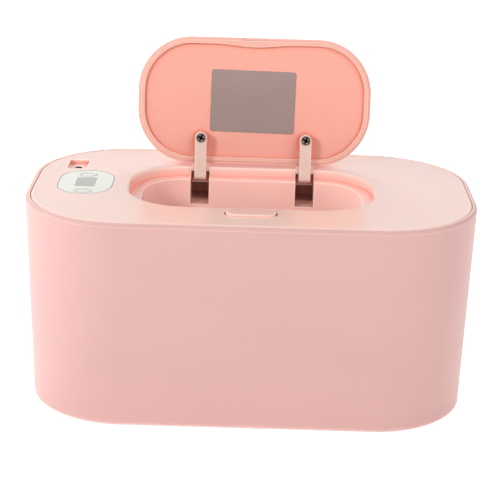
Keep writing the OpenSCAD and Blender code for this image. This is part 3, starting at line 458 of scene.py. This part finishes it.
def rounded_outline(w, d, r, x=0.0, y=0.0, arc_steps=20, side_steps=6):
    """A rounded rectangle as arrays of centre, direction and radius. Round each corner the direction turns
    through a quarter. Along each side it stays, while the centre runs from one corner's centre to the next
    one's."""
    cx, cy = w / 2 - r, d / 2 - r
    centres = np.array([[cx, cy], [-cx, cy], [-cx, -cy], [cx, -cy]]) + [x, y]
    turns = np.arange(4)[:, None] * math.pi / 2 + np.linspace(0, math.pi / 2, arc_steps + 1)
    arcs = np.repeat(centres[:, None], arc_steps + 1, axis=1)
    near = SIDE_GUARD / side_steps
    share = np.concatenate([[near], np.linspace(0, 1, side_steps + 1)[1:-1], [1 - near]])[:, None]
    sides = centres[:, None] * (1 - share) + np.roll(centres, -1, axis=0)[:, None] * share
    side_turns = np.repeat(turns[:, -1:], len(share), axis=1)
    place = np.concatenate([arcs, sides], axis=1).reshape(-1, 2)
    angle = np.concatenate([turns, side_turns], axis=1).reshape(-1)
    return place, np.stack([np.cos(angle), np.sin(angle)], axis=-1), np.full(len(angle), float(r))


def carried(outline, profile, cap_start=True, cap_end=True):
    """A profile of (inset, z) carried round an outline: each point lies at centre + (radius - inset) *
    direction, at height z. A capped end gathers in the outline's middle at the height of its last row."""
    place, direction, radius = outline
    inset, z = profile[:, 0, None], profile[:, 1, None]
    out = np.maximum(radius[None] - inset, 0.0)
    flat = place[None] + out[..., None] * direction[None]
    points = np.concatenate([flat, np.broadcast_to(z, out.shape)[..., None]], axis=-1)
    middle = np.append(place.mean(axis=0), 0.0)
    ends = [np.broadcast_to(middle + [0, 0, profile[i, 1]], points[:1].shape) for i in (0, -1)]
    return np.concatenate(([ends[0]] if cap_start else []) + [points] + ([ends[1]] if cap_end else []))


def added(name, data):
    """A new object of the scene."""
    made = bpy.data.objects.new(name, data)
    bpy.context.scene.collection.objects.link(made)
    return made


def piece(name, grids, material, body, stands_for=(), ring=False, grime=None):
    """A mesh of grids of points, in millimetres. Four neighbours on a grid make a face, each row closes on
    itself, and with ring the last row joins the first. Points that meet are merged and the faces turned
    outwards. Painted shade, where given, is a value from 0 to 1 for each point, which the material reads."""
    points, faces, base = [], [], 0
    for grid in grids:
        rows, columns = grid.shape[:2]
        index = np.arange(rows * columns).reshape(rows, columns) + base
        lower = index if ring else index[:-1]
        upper = np.roll(index, -1, axis=0) if ring else index[1:]
        corners = [lower, np.roll(lower, -1, 1), np.roll(upper, -1, 1), upper]
        faces.append(np.stack(corners, -1).reshape(-1, 4))
        points.append(grid.reshape(-1, 3))
        base += rows * columns
    mesh = bpy.data.meshes.new(name)
    mesh.from_pydata(np.concatenate(points) * MM, [], np.concatenate(faces).tolist())
    if grime:
        values = np.concatenate([g.reshape(-1) for g in grime]).astype(np.float32)
        mesh.attributes.new("grime", "FLOAT", "POINT").data.foreach_set("value", values)
    form = bmesh.new()
    form.from_mesh(mesh)
    bmesh.ops.remove_doubles(form, verts=form.verts, dist=MERGE)
    bmesh.ops.dissolve_degenerate(form, edges=form.edges, dist=MERGE / 10)
    bmesh.ops.recalc_face_normals(form, faces=form.faces)
    form.to_mesh(mesh)
    form.free()
    mesh.polygons.foreach_set("use_smooth", np.ones(len(mesh.polygons), bool))
    mesh.materials.append(material)
    made = added(name, mesh)
    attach(made, body)
    if stands_for:
        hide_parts(*stands_for)


# ---- Shell ----

shell_low, shell_high = node_box("outer_shell")
TOP_Z = shell_high[2]
SHELL_CORNER = 53.0
SHELL_WALL = 2.6
SHELL_DRAFT = 2.5
SHELL_EDGE, INNER_EDGE, FOOT_EDGE, SHELF_EDGE = 2.0, 0.3, 0.4, 0.2
LEDGE_Z, LEDGE_T, LEDGE_W = 99.0, 1.5, 2.5      # the ledge that carries the tub
STOP_Z, STOP_T, STOP_W = 3.6, 1.5, 3.0          # the stop that the base plate meets


def make_shell():
    """The shell's wall carried round its plan. The wall leans in by its draft from its top edge to its foot.
    The slope under the ledge and that over the stop run at 45 degrees."""
    foot = shell_low[2]
    edge = TOP_Z - SHELL_EDGE
    under_ledge = LEDGE_Z - LEDGE_T - LEDGE_W
    over_stop = STOP_Z + STOP_T + STOP_W

    def lean(z):
        return SHELL_DRAFT * (edge - min(z, edge)) / (edge - foot)

    def inner(z, step=0.0):
        return SHELL_WALL + step + lean(z)

    profile = profile_of([
        (lean(foot), foot, FOOT_EDGE), (0, edge, 0), (0, TOP_Z, SHELL_EDGE), (SHELL_WALL, TOP_Z, INNER_EDGE),
        (inner(LEDGE_Z), LEDGE_Z, 0),
        (inner(LEDGE_Z, LEDGE_W), LEDGE_Z, SHELF_EDGE),
        (inner(LEDGE_Z, LEDGE_W), LEDGE_Z - LEDGE_T, SHELF_EDGE),
        (inner(under_ledge), under_ledge, 0),
        (inner(over_stop), over_stop, 0),
        (inner(STOP_Z, STOP_W), STOP_Z + STOP_T, SHELF_EDGE),
        (inner(STOP_Z, STOP_W), STOP_Z, SHELF_EDGE),
        (inner(STOP_Z), STOP_Z, 0),
        (inner(foot), foot, INNER_EDGE)], closed=True)
    size = shell_high - shell_low
    outline = rounded_outline(size[0], size[1], SHELL_CORNER, arc_steps=40, side_steps=8)
    piece("shell_wall", [carried(outline, profile, False, False)], shell_plastic, "tub",
          ["outer_shell"], ring=True)


# ---- Button ----

CAP_HALF, CAP_STRAIGHT, CAP_T = 13.5, 8.1, 1.2
CAP_PLAY = 0.1             # how far below the cap's underside a point still counts as the cap's
END_GAP = 0.6              # how much wider the gap is at the button's ends than along its sides


def make_button():
    """The push button with its ends drawn in: past the straight part of the cap, x moves towards the middle
    by a share of the end gap that grows evenly to one at the cap's end."""
    form = bmesh.new()
    form.from_mesh(frame["nodes"]["latch_button"].data)
    bmesh.ops.remove_doubles(form, verts=form.verts, dist=MERGE)
    mesh = bpy.data.meshes.new("button_cap")
    form.to_mesh(mesh)
    form.free()
    points = np.empty(3 * len(mesh.vertices), np.float32)
    mesh.vertices.foreach_get("co", points)
    points = points.reshape(-1, 3)
    x, z = points[:, 0] / MM, points[:, 2] / MM
    past_straight = np.clip((np.abs(x) - CAP_STRAIGHT) / (CAP_HALF - CAP_STRAIGHT), 0, 1)
    on_cap = z > TOP_Z - CAP_T - CAP_PLAY
    points[:, 0] -= np.sign(x) * past_straight * on_cap * END_GAP * MM
    mesh.vertices.foreach_set("co", points.reshape(-1))
    mesh.materials.clear()
    mesh.materials.append(button_plastic)
    cap = added("button_cap", mesh)
    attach(cap, "latch_button")
    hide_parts("latch_button")


# ---- Flap: skin, lip, liner and label ----

ARMS = {"hinge_arm_left": "left_arm", "hinge_arm_right": "right_arm"}
FLAP_W, FLAP_D, FLAP_R = 131.3, 71.1, 30.3
FLAP_Y = -1.75
FLAP_EDGE, RIM_EDGE = 2.5, 0.45
RIM_Z = 109.3
LIP_OUT, LIP_IN, LIP_Z = 1.6, 3.9, 108.15       # the insets of the lip's two sides, and its crest
LIP_OUT_EDGE, LIP_IN_EDGE = 0.3, 0.45
BOW_W, BOW_DEPTH = 46.0, 1.6
NOTCH_W, NOTCH_DEPTH, NOTCH_TOP = 14.6, 1.3, 110.35
NOTCH_SLOPE = 0.3
NOTCH_ROWS = (0.1, 0.05, 0, -0.05, -0.1)        # rows of points that keep the step at its top sharp
NOTCH_RISE = (-0.06, -0.04, 0.04, 0.06)         # heights about its top
NOTCH_SHARE = (1, 0.95, 0.05, 0)                # and how much of the notch's depth is left at each
FACING_FRONT = -0.99                            # the y of a direction that counts as the flap's front side
LINER_Z, LINER_BACK, LINER_EDGE = 110.0, 111.2, 0.12
LAP = 0.02                                      # how far the liner's plate reaches into the lip
BOSS_W, BOSS_L, BOSS_R, BOSS_CORNER = 7.2, 6.8, 3.6, 3.5
BOSS_ROOT, BOSS_EDGE = 0.6, 0.25
LABEL = (47.7, 34.9, 1.6, 0.12)                 # its width, depth, corner radius and thickness
LABEL_EDGE = 0.05
LABEL_AT = (-0.86, -1.45)
LABEL_TURN = math.radians(0.84)
ARM_BACK_Z = 105.0
ARM_W, ARM_T, ARM_EDGE = 6.4, 1.6, 0.35
ARM_MID_Z = ARM_BACK_Z - ARM_T / 2
SCREW_Y = 19.2


def arm_x(name):
    """The middle of an arm across the flap."""
    low, high = node_box(name)
    return (low[0] + high[0]) / 2


def flap_outline():
    """The flap's outline, with points close enough together for what happens along its front side, and where
    it runs along that side."""
    outline = rounded_outline(FLAP_W, FLAP_D, FLAP_R, 0, FLAP_Y, arc_steps=30, side_steps=64)
    return outline, outline[1][None, :, 1] < FACING_FRONT


def make_flap_skin():
    """The flap's skin carried round its outline: a crowned edge, the side and a flat rim, cut back in front
    by a step over the width of the bolt's nose."""
    outline, in_front = flap_outline()
    section = profile_of([
        (FLAP_R - HUB, TOP_Z, 0), (0, TOP_Z, FLAP_EDGE), *[(0, NOTCH_TOP + row, 0) for row in NOTCH_ROWS],
        (0, RIM_Z, RIM_EDGE), (LIP_OUT + FINE_EDGE, RIM_Z, FINE_EDGE),
        (LIP_OUT + FINE_EDGE, LINER_BACK, FINE_EDGE), (FLAP_R - HUB, LINER_BACK, 0)])
    skin = carried(outline, section)
    x, z = skin[1:-1, :, 0], skin[1:-1, :, 2]
    over_nose = np.clip((NOTCH_W / 2 - np.abs(x)) / NOTCH_SLOPE + 0.5, 0, 1)
    below_top = np.interp(z - NOTCH_TOP, NOTCH_RISE, NOTCH_SHARE)
    on_side = section[:, 0, None] < LIP_OUT / 2
    skin[1:-1, :, 1] += NOTCH_DEPTH * over_nose * below_top * on_side * in_front
    piece("flap_skin", [opened(skin)], flap_plastic, "flap", ["flap_cover"])


def make_flap_lip():
    """The raised lip inside the flap's rim: a rounded bar's section carried round the flap. In front its
    inner side bows inward, by a cosine squared, where it stiffens the flap behind the catch."""
    outline, in_front = flap_outline()
    section = profile_of([
        (LIP_OUT, LIP_Z, LIP_OUT_EDGE), (LIP_IN, LIP_Z, LIP_IN_EDGE), (LIP_IN, LINER_BACK, FINE_EDGE),
        (LIP_OUT, LINER_BACK, FINE_EDGE)], closed=True)
    lip = carried(outline, section, False, False)
    bow = BOW_DEPTH * np.cos(np.clip(lip[..., 0] / BOW_W, -0.5, 0.5) * math.pi) ** 2
    inner_side = section[:, 0, None] > (LIP_OUT + LIP_IN) / 2
    lip[..., 1] += bow * inner_side * in_front
    piece("flap_lip", [opened(lip)], lip_plastic, "flap", ring=True)


def make_liner():
    """The liner's face, a plate inside the lip, and the round-ended bosses that carry the arms."""
    inset = LIP_IN - LAP
    w, d, r = FLAP_W - 2 * inset, FLAP_D - 2 * inset, FLAP_R - inset
    hub = r - HUB
    section = profile_of([
        (hub, LINER_Z, 0), (0, LINER_Z, LINER_EDGE), (0, LINER_BACK, LINER_EDGE), (hub, LINER_BACK, 0)])
    grids = [carried(rounded_outline(w, d, r, 0, FLAP_Y, arc_steps=30, side_steps=8), section)]
    root = LINER_Z + BOSS_ROOT
    boss = profile_of([(BOSS_R, ARM_BACK_Z, 0), (0, ARM_BACK_Z, BOSS_EDGE), (0, root, 0), (BOSS_R, root, 0)])
    length = BOSS_R + BOSS_L
    middle = SCREW_Y - BOSS_R + length / 2
    for arm in ARMS:
        outline = rounded_outline(BOSS_W, length, BOSS_CORNER, arm_x(arm), middle, 12, 3)
        grids.append(carried(outline, boss))
    piece("liner_face", [opened(g) for g in grids], liner_plastic, "flap", ["flap_liner"])


def make_label():
    """A blank film label on the liner's face: a thin plate with round corners, turned a little, as it was
    laid."""
    w, d, r, t = LABEL
    face = LINER_Z - t
    section = profile_of([(r, face, 0), (0, face, LABEL_EDGE), (0, LINER_Z, 0), (r, LINER_Z, 0)])
    plate = carried(rounded_outline(w, d, r, arc_steps=8, side_steps=4), section)
    c, s = math.cos(LABEL_TURN), math.sin(LABEL_TURN)
    x, y = plate[..., 0], plate[..., 1]
    laid = np.stack([LABEL_AT[0] + x * c - y * s, LABEL_AT[1] + x * s + y * c, plate[..., 2]], axis=-1)
    piece("blank_label", [opened(laid)], label_film, "flap")


# ---- Hinge arms and their screws ----

BEND_Y, BEND_R = 44.0, 1.3
EYE_R, EYE_BORE = 1.9, 1.05
EYE_EDGE, BORE_EDGE = 0.25, 0.15
TIP_W = 0.02               # half the width at the very tip
NOSE_ROWS, RUN_ROWS, BEND_ROWS, WEB_ROWS = 13, 12, 13, 6
EYE_STEPS, SCREW_STEPS = 40, 96


def arm_path():
    """The arm's middle line in y and z, from its tip back along the strip, round the bend and up to the eye.
    The bend is an arc that touches both runs. With it comes the number of points in the tip's rounding,
    which crowd towards its end."""
    corner = np.array([BEND_Y, ARM_MID_Z])
    eye = np.array([AXIS_Y, AXIS_Z])
    rise = (eye - corner) / np.linalg.norm(eye - corner)
    end = eye - rise * (EYE_R + EYE_BORE) / 2
    half = math.acos(-rise[0]) / 2
    bend_start = BEND_Y - BEND_R / math.tan(half)
    nose = SCREW_Y - ARM_W / 2 * np.cos(np.linspace(0, math.pi / 2, NOSE_ROWS))
    run = np.concatenate([nose, np.linspace(SCREW_Y, bend_start, RUN_ROWS)[1:]])
    strip = np.stack([run, np.full(len(run), ARM_MID_Z)], axis=-1)
    a = np.linspace(0, math.pi - 2 * half, BEND_ROWS)[1:]
    centre = np.array([bend_start, ARM_MID_Z + BEND_R])
    bend = centre + BEND_R * np.stack([np.sin(a), -np.cos(a)], axis=-1)
    web = bend[-1] + (end - bend[-1]) * np.linspace(0, 1, WEB_ROWS)[1:, None]
    return np.concatenate([strip, bend, web]), len(nose)


def bar_section():
    """The arm's section, a flat bar with rounded edges: across the bar and through its thickness."""
    place, direction, radius = rounded_outline(ARM_W, ARM_T, ARM_EDGE, arc_steps=4, side_steps=3)
    points = place + direction * radius[:, None]
    return points[:, 0], points[:, 1]


def make_arm(arm, name):
    """A gooseneck arm: a flat bar's section with rounded edges, carried along the arm's middle line. At the
    tip its half width follows a circle. A short tube round the pin, its section carried round the axis,
    makes the eye."""
    path, nose = arm_path()
    step = np.gradient(path, axis=0)
    along = step / np.linalg.norm(step, axis=1, keepdims=True)
    across = np.stack([-along[:, 1], along[:, 0]], axis=-1)
    half = np.full(len(path), ARM_W / 2)
    far = path[:nose, 0] - path[0, 0]
    half[:nose] = np.sqrt(np.maximum(far * (ARM_W - far), 0.0)) + TIP_W
    bar_x, bar_t = bar_section()
    wide = np.sign(bar_x) * np.maximum(half[:, None] - (ARM_W / 2 - np.abs(bar_x)), 0.0)
    points = np.stack([
        arm_x(arm) + wide,
        path[:, 0, None] + across[:, 0, None] * bar_t,
        path[:, 1, None] + across[:, 1, None] * bar_t], axis=-1)
    ends = [np.broadcast_to(points[i].mean(axis=0), points[:1].shape) for i in (0, -1)]
    strip = np.concatenate([ends[0], points, ends[1]])
    w = ARM_W / 2
    tube = profile_of([
        (EYE_R, -w, EYE_EDGE), (EYE_R, w, EYE_EDGE), (EYE_BORE, w, BORE_EDGE), (EYE_BORE, -w, BORE_EDGE)],
        closed=True)
    a = np.linspace(0, 2 * math.pi, EYE_STEPS, endpoint=False)
    eye = np.stack([
        np.broadcast_to(arm_x(arm) + tube[:, 1, None], (len(tube), len(a))),
        AXIS_Y + tube[:, 0, None] * np.cos(a),
        AXIS_Z + tube[:, 0, None] * np.sin(a)], axis=-1)
    eye = np.concatenate([eye, eye[:1]])
    piece(name, [opened(strip), opened(eye)], blasted_steel, "flap", [arm])


HEAD_R, HEAD_H, HEAD_EDGE = 2.4, 0.76, 0.3
CROWN_R, CROWN_H, CROWN_ROWS = 2.05, 0.14, 36
SCREW_R, SCREW_L, SCREW_TIP = 1.2, 5.6, 0.6
CROSS_W, CROSS_L, CROSS_DEPTH, CROSS_SLOPE = 0.6, 1.85, 0.7, 0.16
CROSS_TURN = (0.92, 0.39)                       # the cosine and the sine of the angle it came to rest at
CROSS_FLOOR = 0.3                               # the height below which the head isn't cut
SHADE_RING_R, SHADE_RING_W = 1.9, 0.2                     # the ring of painted shade round the head's edge


def make_arm_screws():
    """Pan-head screws. Height follows the head's profile, turned about the screw's axis. The cross recess is
    cut by sinking points where they lie within either arm of the cross, with a short slope at its edges."""
    crown = np.linspace(0, CROWN_R, CROWN_ROWS)
    top = np.stack([crown, HEAD_H + CROWN_H * (1 - (crown / CROWN_R) ** 2)], axis=-1)
    rest = profile_of([
        (CROWN_R, HEAD_H, 0), (HEAD_R, HEAD_H, HEAD_EDGE), (HEAD_R, 0, 0), (SCREW_R, 0, 0),
        (SCREW_R, -SCREW_L, 0), (0, -SCREW_L - SCREW_TIP, 0)])
    radius, height = np.concatenate([top, rest[1:]]).T[..., None]
    a = np.linspace(0, 2 * math.pi, SCREW_STEPS, endpoint=False)
    x, y = radius * np.cos(a), radius * np.sin(a)
    c, s = CROSS_TURN
    u, v = np.abs(x * c + y * s), np.abs(y * c - x * s)
    inside = np.minimum(CROSS_W - np.minimum(u, v), CROSS_L - np.maximum(u, v))
    sunk = np.clip(inside / CROSS_SLOPE, 0, 1) * (height > CROSS_FLOOR)
    # Painted shade: dark in the cross recess and in a ring round the head's edge, where it meets the arm
    grime = np.maximum(sunk, np.clip((radius - SHADE_RING_R) / SHADE_RING_W, 0, 1))
    z = ARM_BACK_Z - ARM_T - (height - sunk * CROSS_DEPTH)
    grids = [opened(np.stack([arm_x(arm) + x, SCREW_Y + y, z], axis=-1)) for arm in ARMS]
    piece("arm_cap_screws", grids, capped_screw_steel, "flap", ["arm_screws"],
          grime=[grime] * len(grids))


# ---- Controls and inlet ----

KEY_X, KEY_Y = -90.4, (-15.6, 13.7)
KEY_W, KEY_D, KEY_R = 9.2, 6.2, 3.05
RING_W, RING_RISE, RING_EDGE = 0.8, 0.3, 0.14
SHADE_LINE_W, SHADE_LINE_LAP = 0.35, 0.05                     # a line of painted shade beside the ring, and how far it reaches under it
INNER_SHADE_LINE_RISE, OUTER_SHADE_LINE_RISE = 0.1, 0.06
SHADE_LINE_DEPTH = 0.2
# The painted shade line over the panel's gap: its insets, rise, rounding and depth
LINE_OUT, LINE_IN, LINE_RISE, LINE_EDGE = -0.35, 0.1, 0.05, 0.03
LINE_DEPTH = 0.6


def make_key_rings():
    """Each touch key's mark: a raised oval ring with a rounded top, its section carried round the key's
    outline, and a thin grey line of painted shade on either side of it, where the ring's shade falls."""
    face = node_box("control_panel")[1][2]
    section = band(0, RING_W, face - RING_RISE, face + RING_RISE, RING_EDGE)
    inner_start = RING_W - SHADE_LINE_LAP
    outer_start = SHADE_LINE_LAP - SHADE_LINE_W
    inner = band(inner_start, inner_start + SHADE_LINE_W, face - SHADE_LINE_DEPTH, face + INNER_SHADE_LINE_RISE)
    outer = band(outer_start, outer_start + SHADE_LINE_W, face - SHADE_LINE_DEPTH, face + OUTER_SHADE_LINE_RISE)
    outlines = [rounded_outline(KEY_W, KEY_D, KEY_R, KEY_X, y, arc_steps=12, side_steps=4) for y in KEY_Y]
    rings = [carried(outline, section, False, False) for outline in outlines]
    lines = [carried(outline, line, False, False) for outline in outlines for line in (inner, outer)]
    piece("key_rings", rings, key_plastic, "lid_unit", ring=True)
    piece("key_ring_shade_lines", lines, shade_line_paint, "lid_unit", ring=True)


def make_panel_gap_shade_line():
    """A thin grey line of painted shade round the control panel, over the gap between it and the cover."""
    low, high = node_box("control_panel")
    w, d = high[0] - low[0], high[1] - low[1]
    x, y = (low[0] + high[0]) / 2, (low[1] + high[1]) / 2
    section = band(LINE_OUT, LINE_IN, high[2] - LINE_DEPTH, high[2] + LINE_RISE, LINE_EDGE)
    outline = rounded_outline(w, d, w / 2 - HALF_ROUND, x, y, arc_steps=24, side_steps=3)
    piece("panel_gap_shade_line", [carried(outline, section, False, False)], shade_line_paint, "lid_unit", ring=True)


INLET_X, INLET_Y = -98.2, 33.6
BARREL_R, BARREL_BORE, BARREL_H = 2.15, 1.75, 1.6


def make_inlet_barrel():
    """The inlet's black barrel, a thin tube that reaches up through the hole in the floor of its recess."""
    foot = node_box("dc_jack")[1][2]
    section = band(0, BARREL_R - BARREL_BORE, foot, foot + BARREL_H, FINE_EDGE)
    r = BARREL_R - HALF_ROUND
    outline = rounded_outline(2 * BARREL_R, 2 * BARREL_R, r, INLET_X, INLET_Y, arc_steps=10, side_steps=1)
    piece("inlet_barrel", [carried(outline, section, False, False)], inlet_plastic, "lid_unit",
          ring=True)


make_button()
make_shell()
make_flap_skin()
make_flap_lip()
make_liner()
make_label()
for arm_name, piece_name in ARMS.items():
    make_arm(arm_name, piece_name)
make_arm_screws()
make_key_rings()
make_panel_gap_shade_line()
make_inlet_barrel()


# ---- Camera, at the photograph's viewing angle ----

VIEW_AZIMUTH = math.radians(0.19)
VIEW_ELEVATION = math.radians(19.70)
VIEW_ROLL = math.radians(1.62)
VIEW_DISTANCE = 823.06 * MM
VIEW_TARGET = Vector((-0.04, 0, 76.35)) * MM
VIEW_LENS, SENSOR_W = 107.45, 36      # millimetres


def make_camera():
    """The camera stands back from its target along the view's direction, turned by the roll about it."""
    data = bpy.data.cameras.new("camera")
    data.lens = VIEW_LENS
    data.sensor_width = SENSOR_W
    data.sensor_fit = "HORIZONTAL"
    camera = added("camera", data)
    ahead = math.cos(VIEW_ELEVATION) * Vector((math.sin(VIEW_AZIMUTH), -math.cos(VIEW_AZIMUTH), 0))
    back = ahead + Vector((0, 0, math.sin(VIEW_ELEVATION)))
    right = Vector((math.cos(VIEW_AZIMUTH), math.sin(VIEW_AZIMUTH), 0))
    turned = Matrix((right, back.cross(right), back)).transposed() @ Matrix.Rotation(VIEW_ROLL, 3, "Z")
    camera.matrix_world = Matrix.Translation(VIEW_TARGET + VIEW_DISTANCE * back) @ turned.to_4x4()
    bpy.context.scene.camera = camera


# ---- Studio, in metres ----

FLOOR_REACH = 6.0
FLOOR_GLOW = 0.62
PAPER_ROUGHNESS = 0.9
LIT_REACH = 0.5            # from the middle, past which the floor's glow makes up for the lamps' fall
ROOM_LIGHT = 0.6           # how bright the open side of the studio shows in reflections
ROOM_Y, BACKDROP_Y = -0.3, 0.4        # a direction's y where it shows that side, and where the backdrop
LAMP_TARGET = Vector((0, 0, 0.06))
LAMPS = {                  # the place, the width and the power in watts
    "front_left": ((-1.0, -1.0, 0.8), 0.35, 12.8),
    "front_right": ((1.0, -1.0, 0.8), 1.6, 18.4),
    "left": ((-1.3, 0, 0.6), 0.8, 9.6),
    "right": ((1.3, 0, 0.6), 0.8, 0.8),
    "back_top": ((0, 1.1, 1.1), 0.8, 9.0),
    "back_left": ((-0.6, 1.3, 0.4), 0.8, 5.2),
    "back_right": ((0.6, 1.3, 0.4), 0.8, 5.2),
}


def seen_ray(nodes):
    """One where a ray comes from the camera, a mirror or glass, and nought where it only lights."""
    ray = nodes.add("ShaderNodeLightPath").outputs
    mirrored = nodes.maths("MAXIMUM", ray["Is Glossy Ray"], ray["Is Transmission Ray"])
    return nodes.maths("MAXIMUM", ray["Is Camera Ray"], mirrored)


def make_floor():
    """A wide pale floor that looks white to the camera and in reflections, and keeps the object's shadow.
    Its glow rises with the distance from the middle."""
    mesh = bpy.data.meshes.new("floor")
    corners = [(-1, -1), (1, -1), (1, 1), (-1, 1)]
    mesh.from_pydata([(x * FLOOR_REACH, y * FLOOR_REACH, 0) for x, y in corners], [], [(0, 1, 2, 3)])
    material, nodes, paper = new_material("floor_paper")
    looks = {"Base Color": linear(BACKDROP), "Roughness": PAPER_ROUGHNESS, "Specular IOR Level": 0.0}
    for inlet, value in looks.items():
        nodes.plug(paper.inputs[inlet], value)
    place = nodes.add("ShaderNodeTexCoord").outputs["Object"]
    distance = nodes.add("ShaderNodeVectorMath", {"operation": "LENGTH"}, place).outputs["Value"]
    rising = nodes.ramp(distance, LIT_REACH, 2 * LIT_REACH, FLOOR_GLOW, 1.0)
    glow = nodes.add("ShaderNodeEmission", {"Color": (1, 1, 1, 1), "Strength": rising})
    lit = nodes.add("ShaderNodeAddShader", (), paper.outputs[0], glow.outputs[0])
    shown = nodes.add("ShaderNodeMixShader", (), seen_ray(nodes), paper.outputs[0], lit.outputs[0])
    nodes.plug(nodes.tree.nodes["Material Output"].inputs["Surface"], shown.outputs[0])
    mesh.materials.append(material)
    floor = added("floor", mesh)


def make_world():
    """A surround that is white where it is seen, and leaves the lighting to the lamps. In reflections it is
    white behind the object and dimmer in front of it, where a studio is open to the room."""
    world = bpy.data.worlds.new("surround")
    bpy.context.scene.world = world
    world.use_nodes = True
    nodes = Nodes(world.node_tree)
    dark = world.node_tree.nodes["Background"]
    dark.inputs["Strength"].default_value = 0.0
    direction = nodes.add("ShaderNodeTexCoord").outputs["Generated"]
    depth = nodes.add("ShaderNodeSeparateXYZ", (), direction).outputs["Y"]
    room = nodes.ramp(depth, ROOM_Y, BACKDROP_Y, ROOM_LIGHT, 1.0)
    camera_ray = nodes.add("ShaderNodeLightPath").outputs["Is Camera Ray"]
    white = nodes.add("ShaderNodeBackground", {"Strength": nodes.maths("MAXIMUM", room, camera_ray)})
    shown = nodes.add("ShaderNodeMixShader", (), seen_ray(nodes), dark.outputs[0], white.outputs[0])
    nodes.plug(world.node_tree.nodes["World Output"].inputs["Surface"], shown.outputs[0])


def make_softbox(name, place, width, power):
    """A square soft light that faces the lamps' target. It lights but isn't mirrored, as through crossed
    polarisers."""
    data = bpy.data.lights.new(name, "AREA")
    data.shape = "SQUARE"
    data.size = width
    data.energy = power
    lamp = added(name, data)
    lamp.location = place
    lamp.rotation_euler = (LAMP_TARGET - Vector(place)).to_track_quat("-Z", "Y").to_euler()
    lamp.visible_camera = False
    lamp.visible_glossy = False


make_camera()
make_floor()
make_world()
for lamp_name, lamp_values in LAMPS.items():
    make_softbox(lamp_name, *lamp_values)

bpy.context.scene.view_settings.view_transform = "Standard"
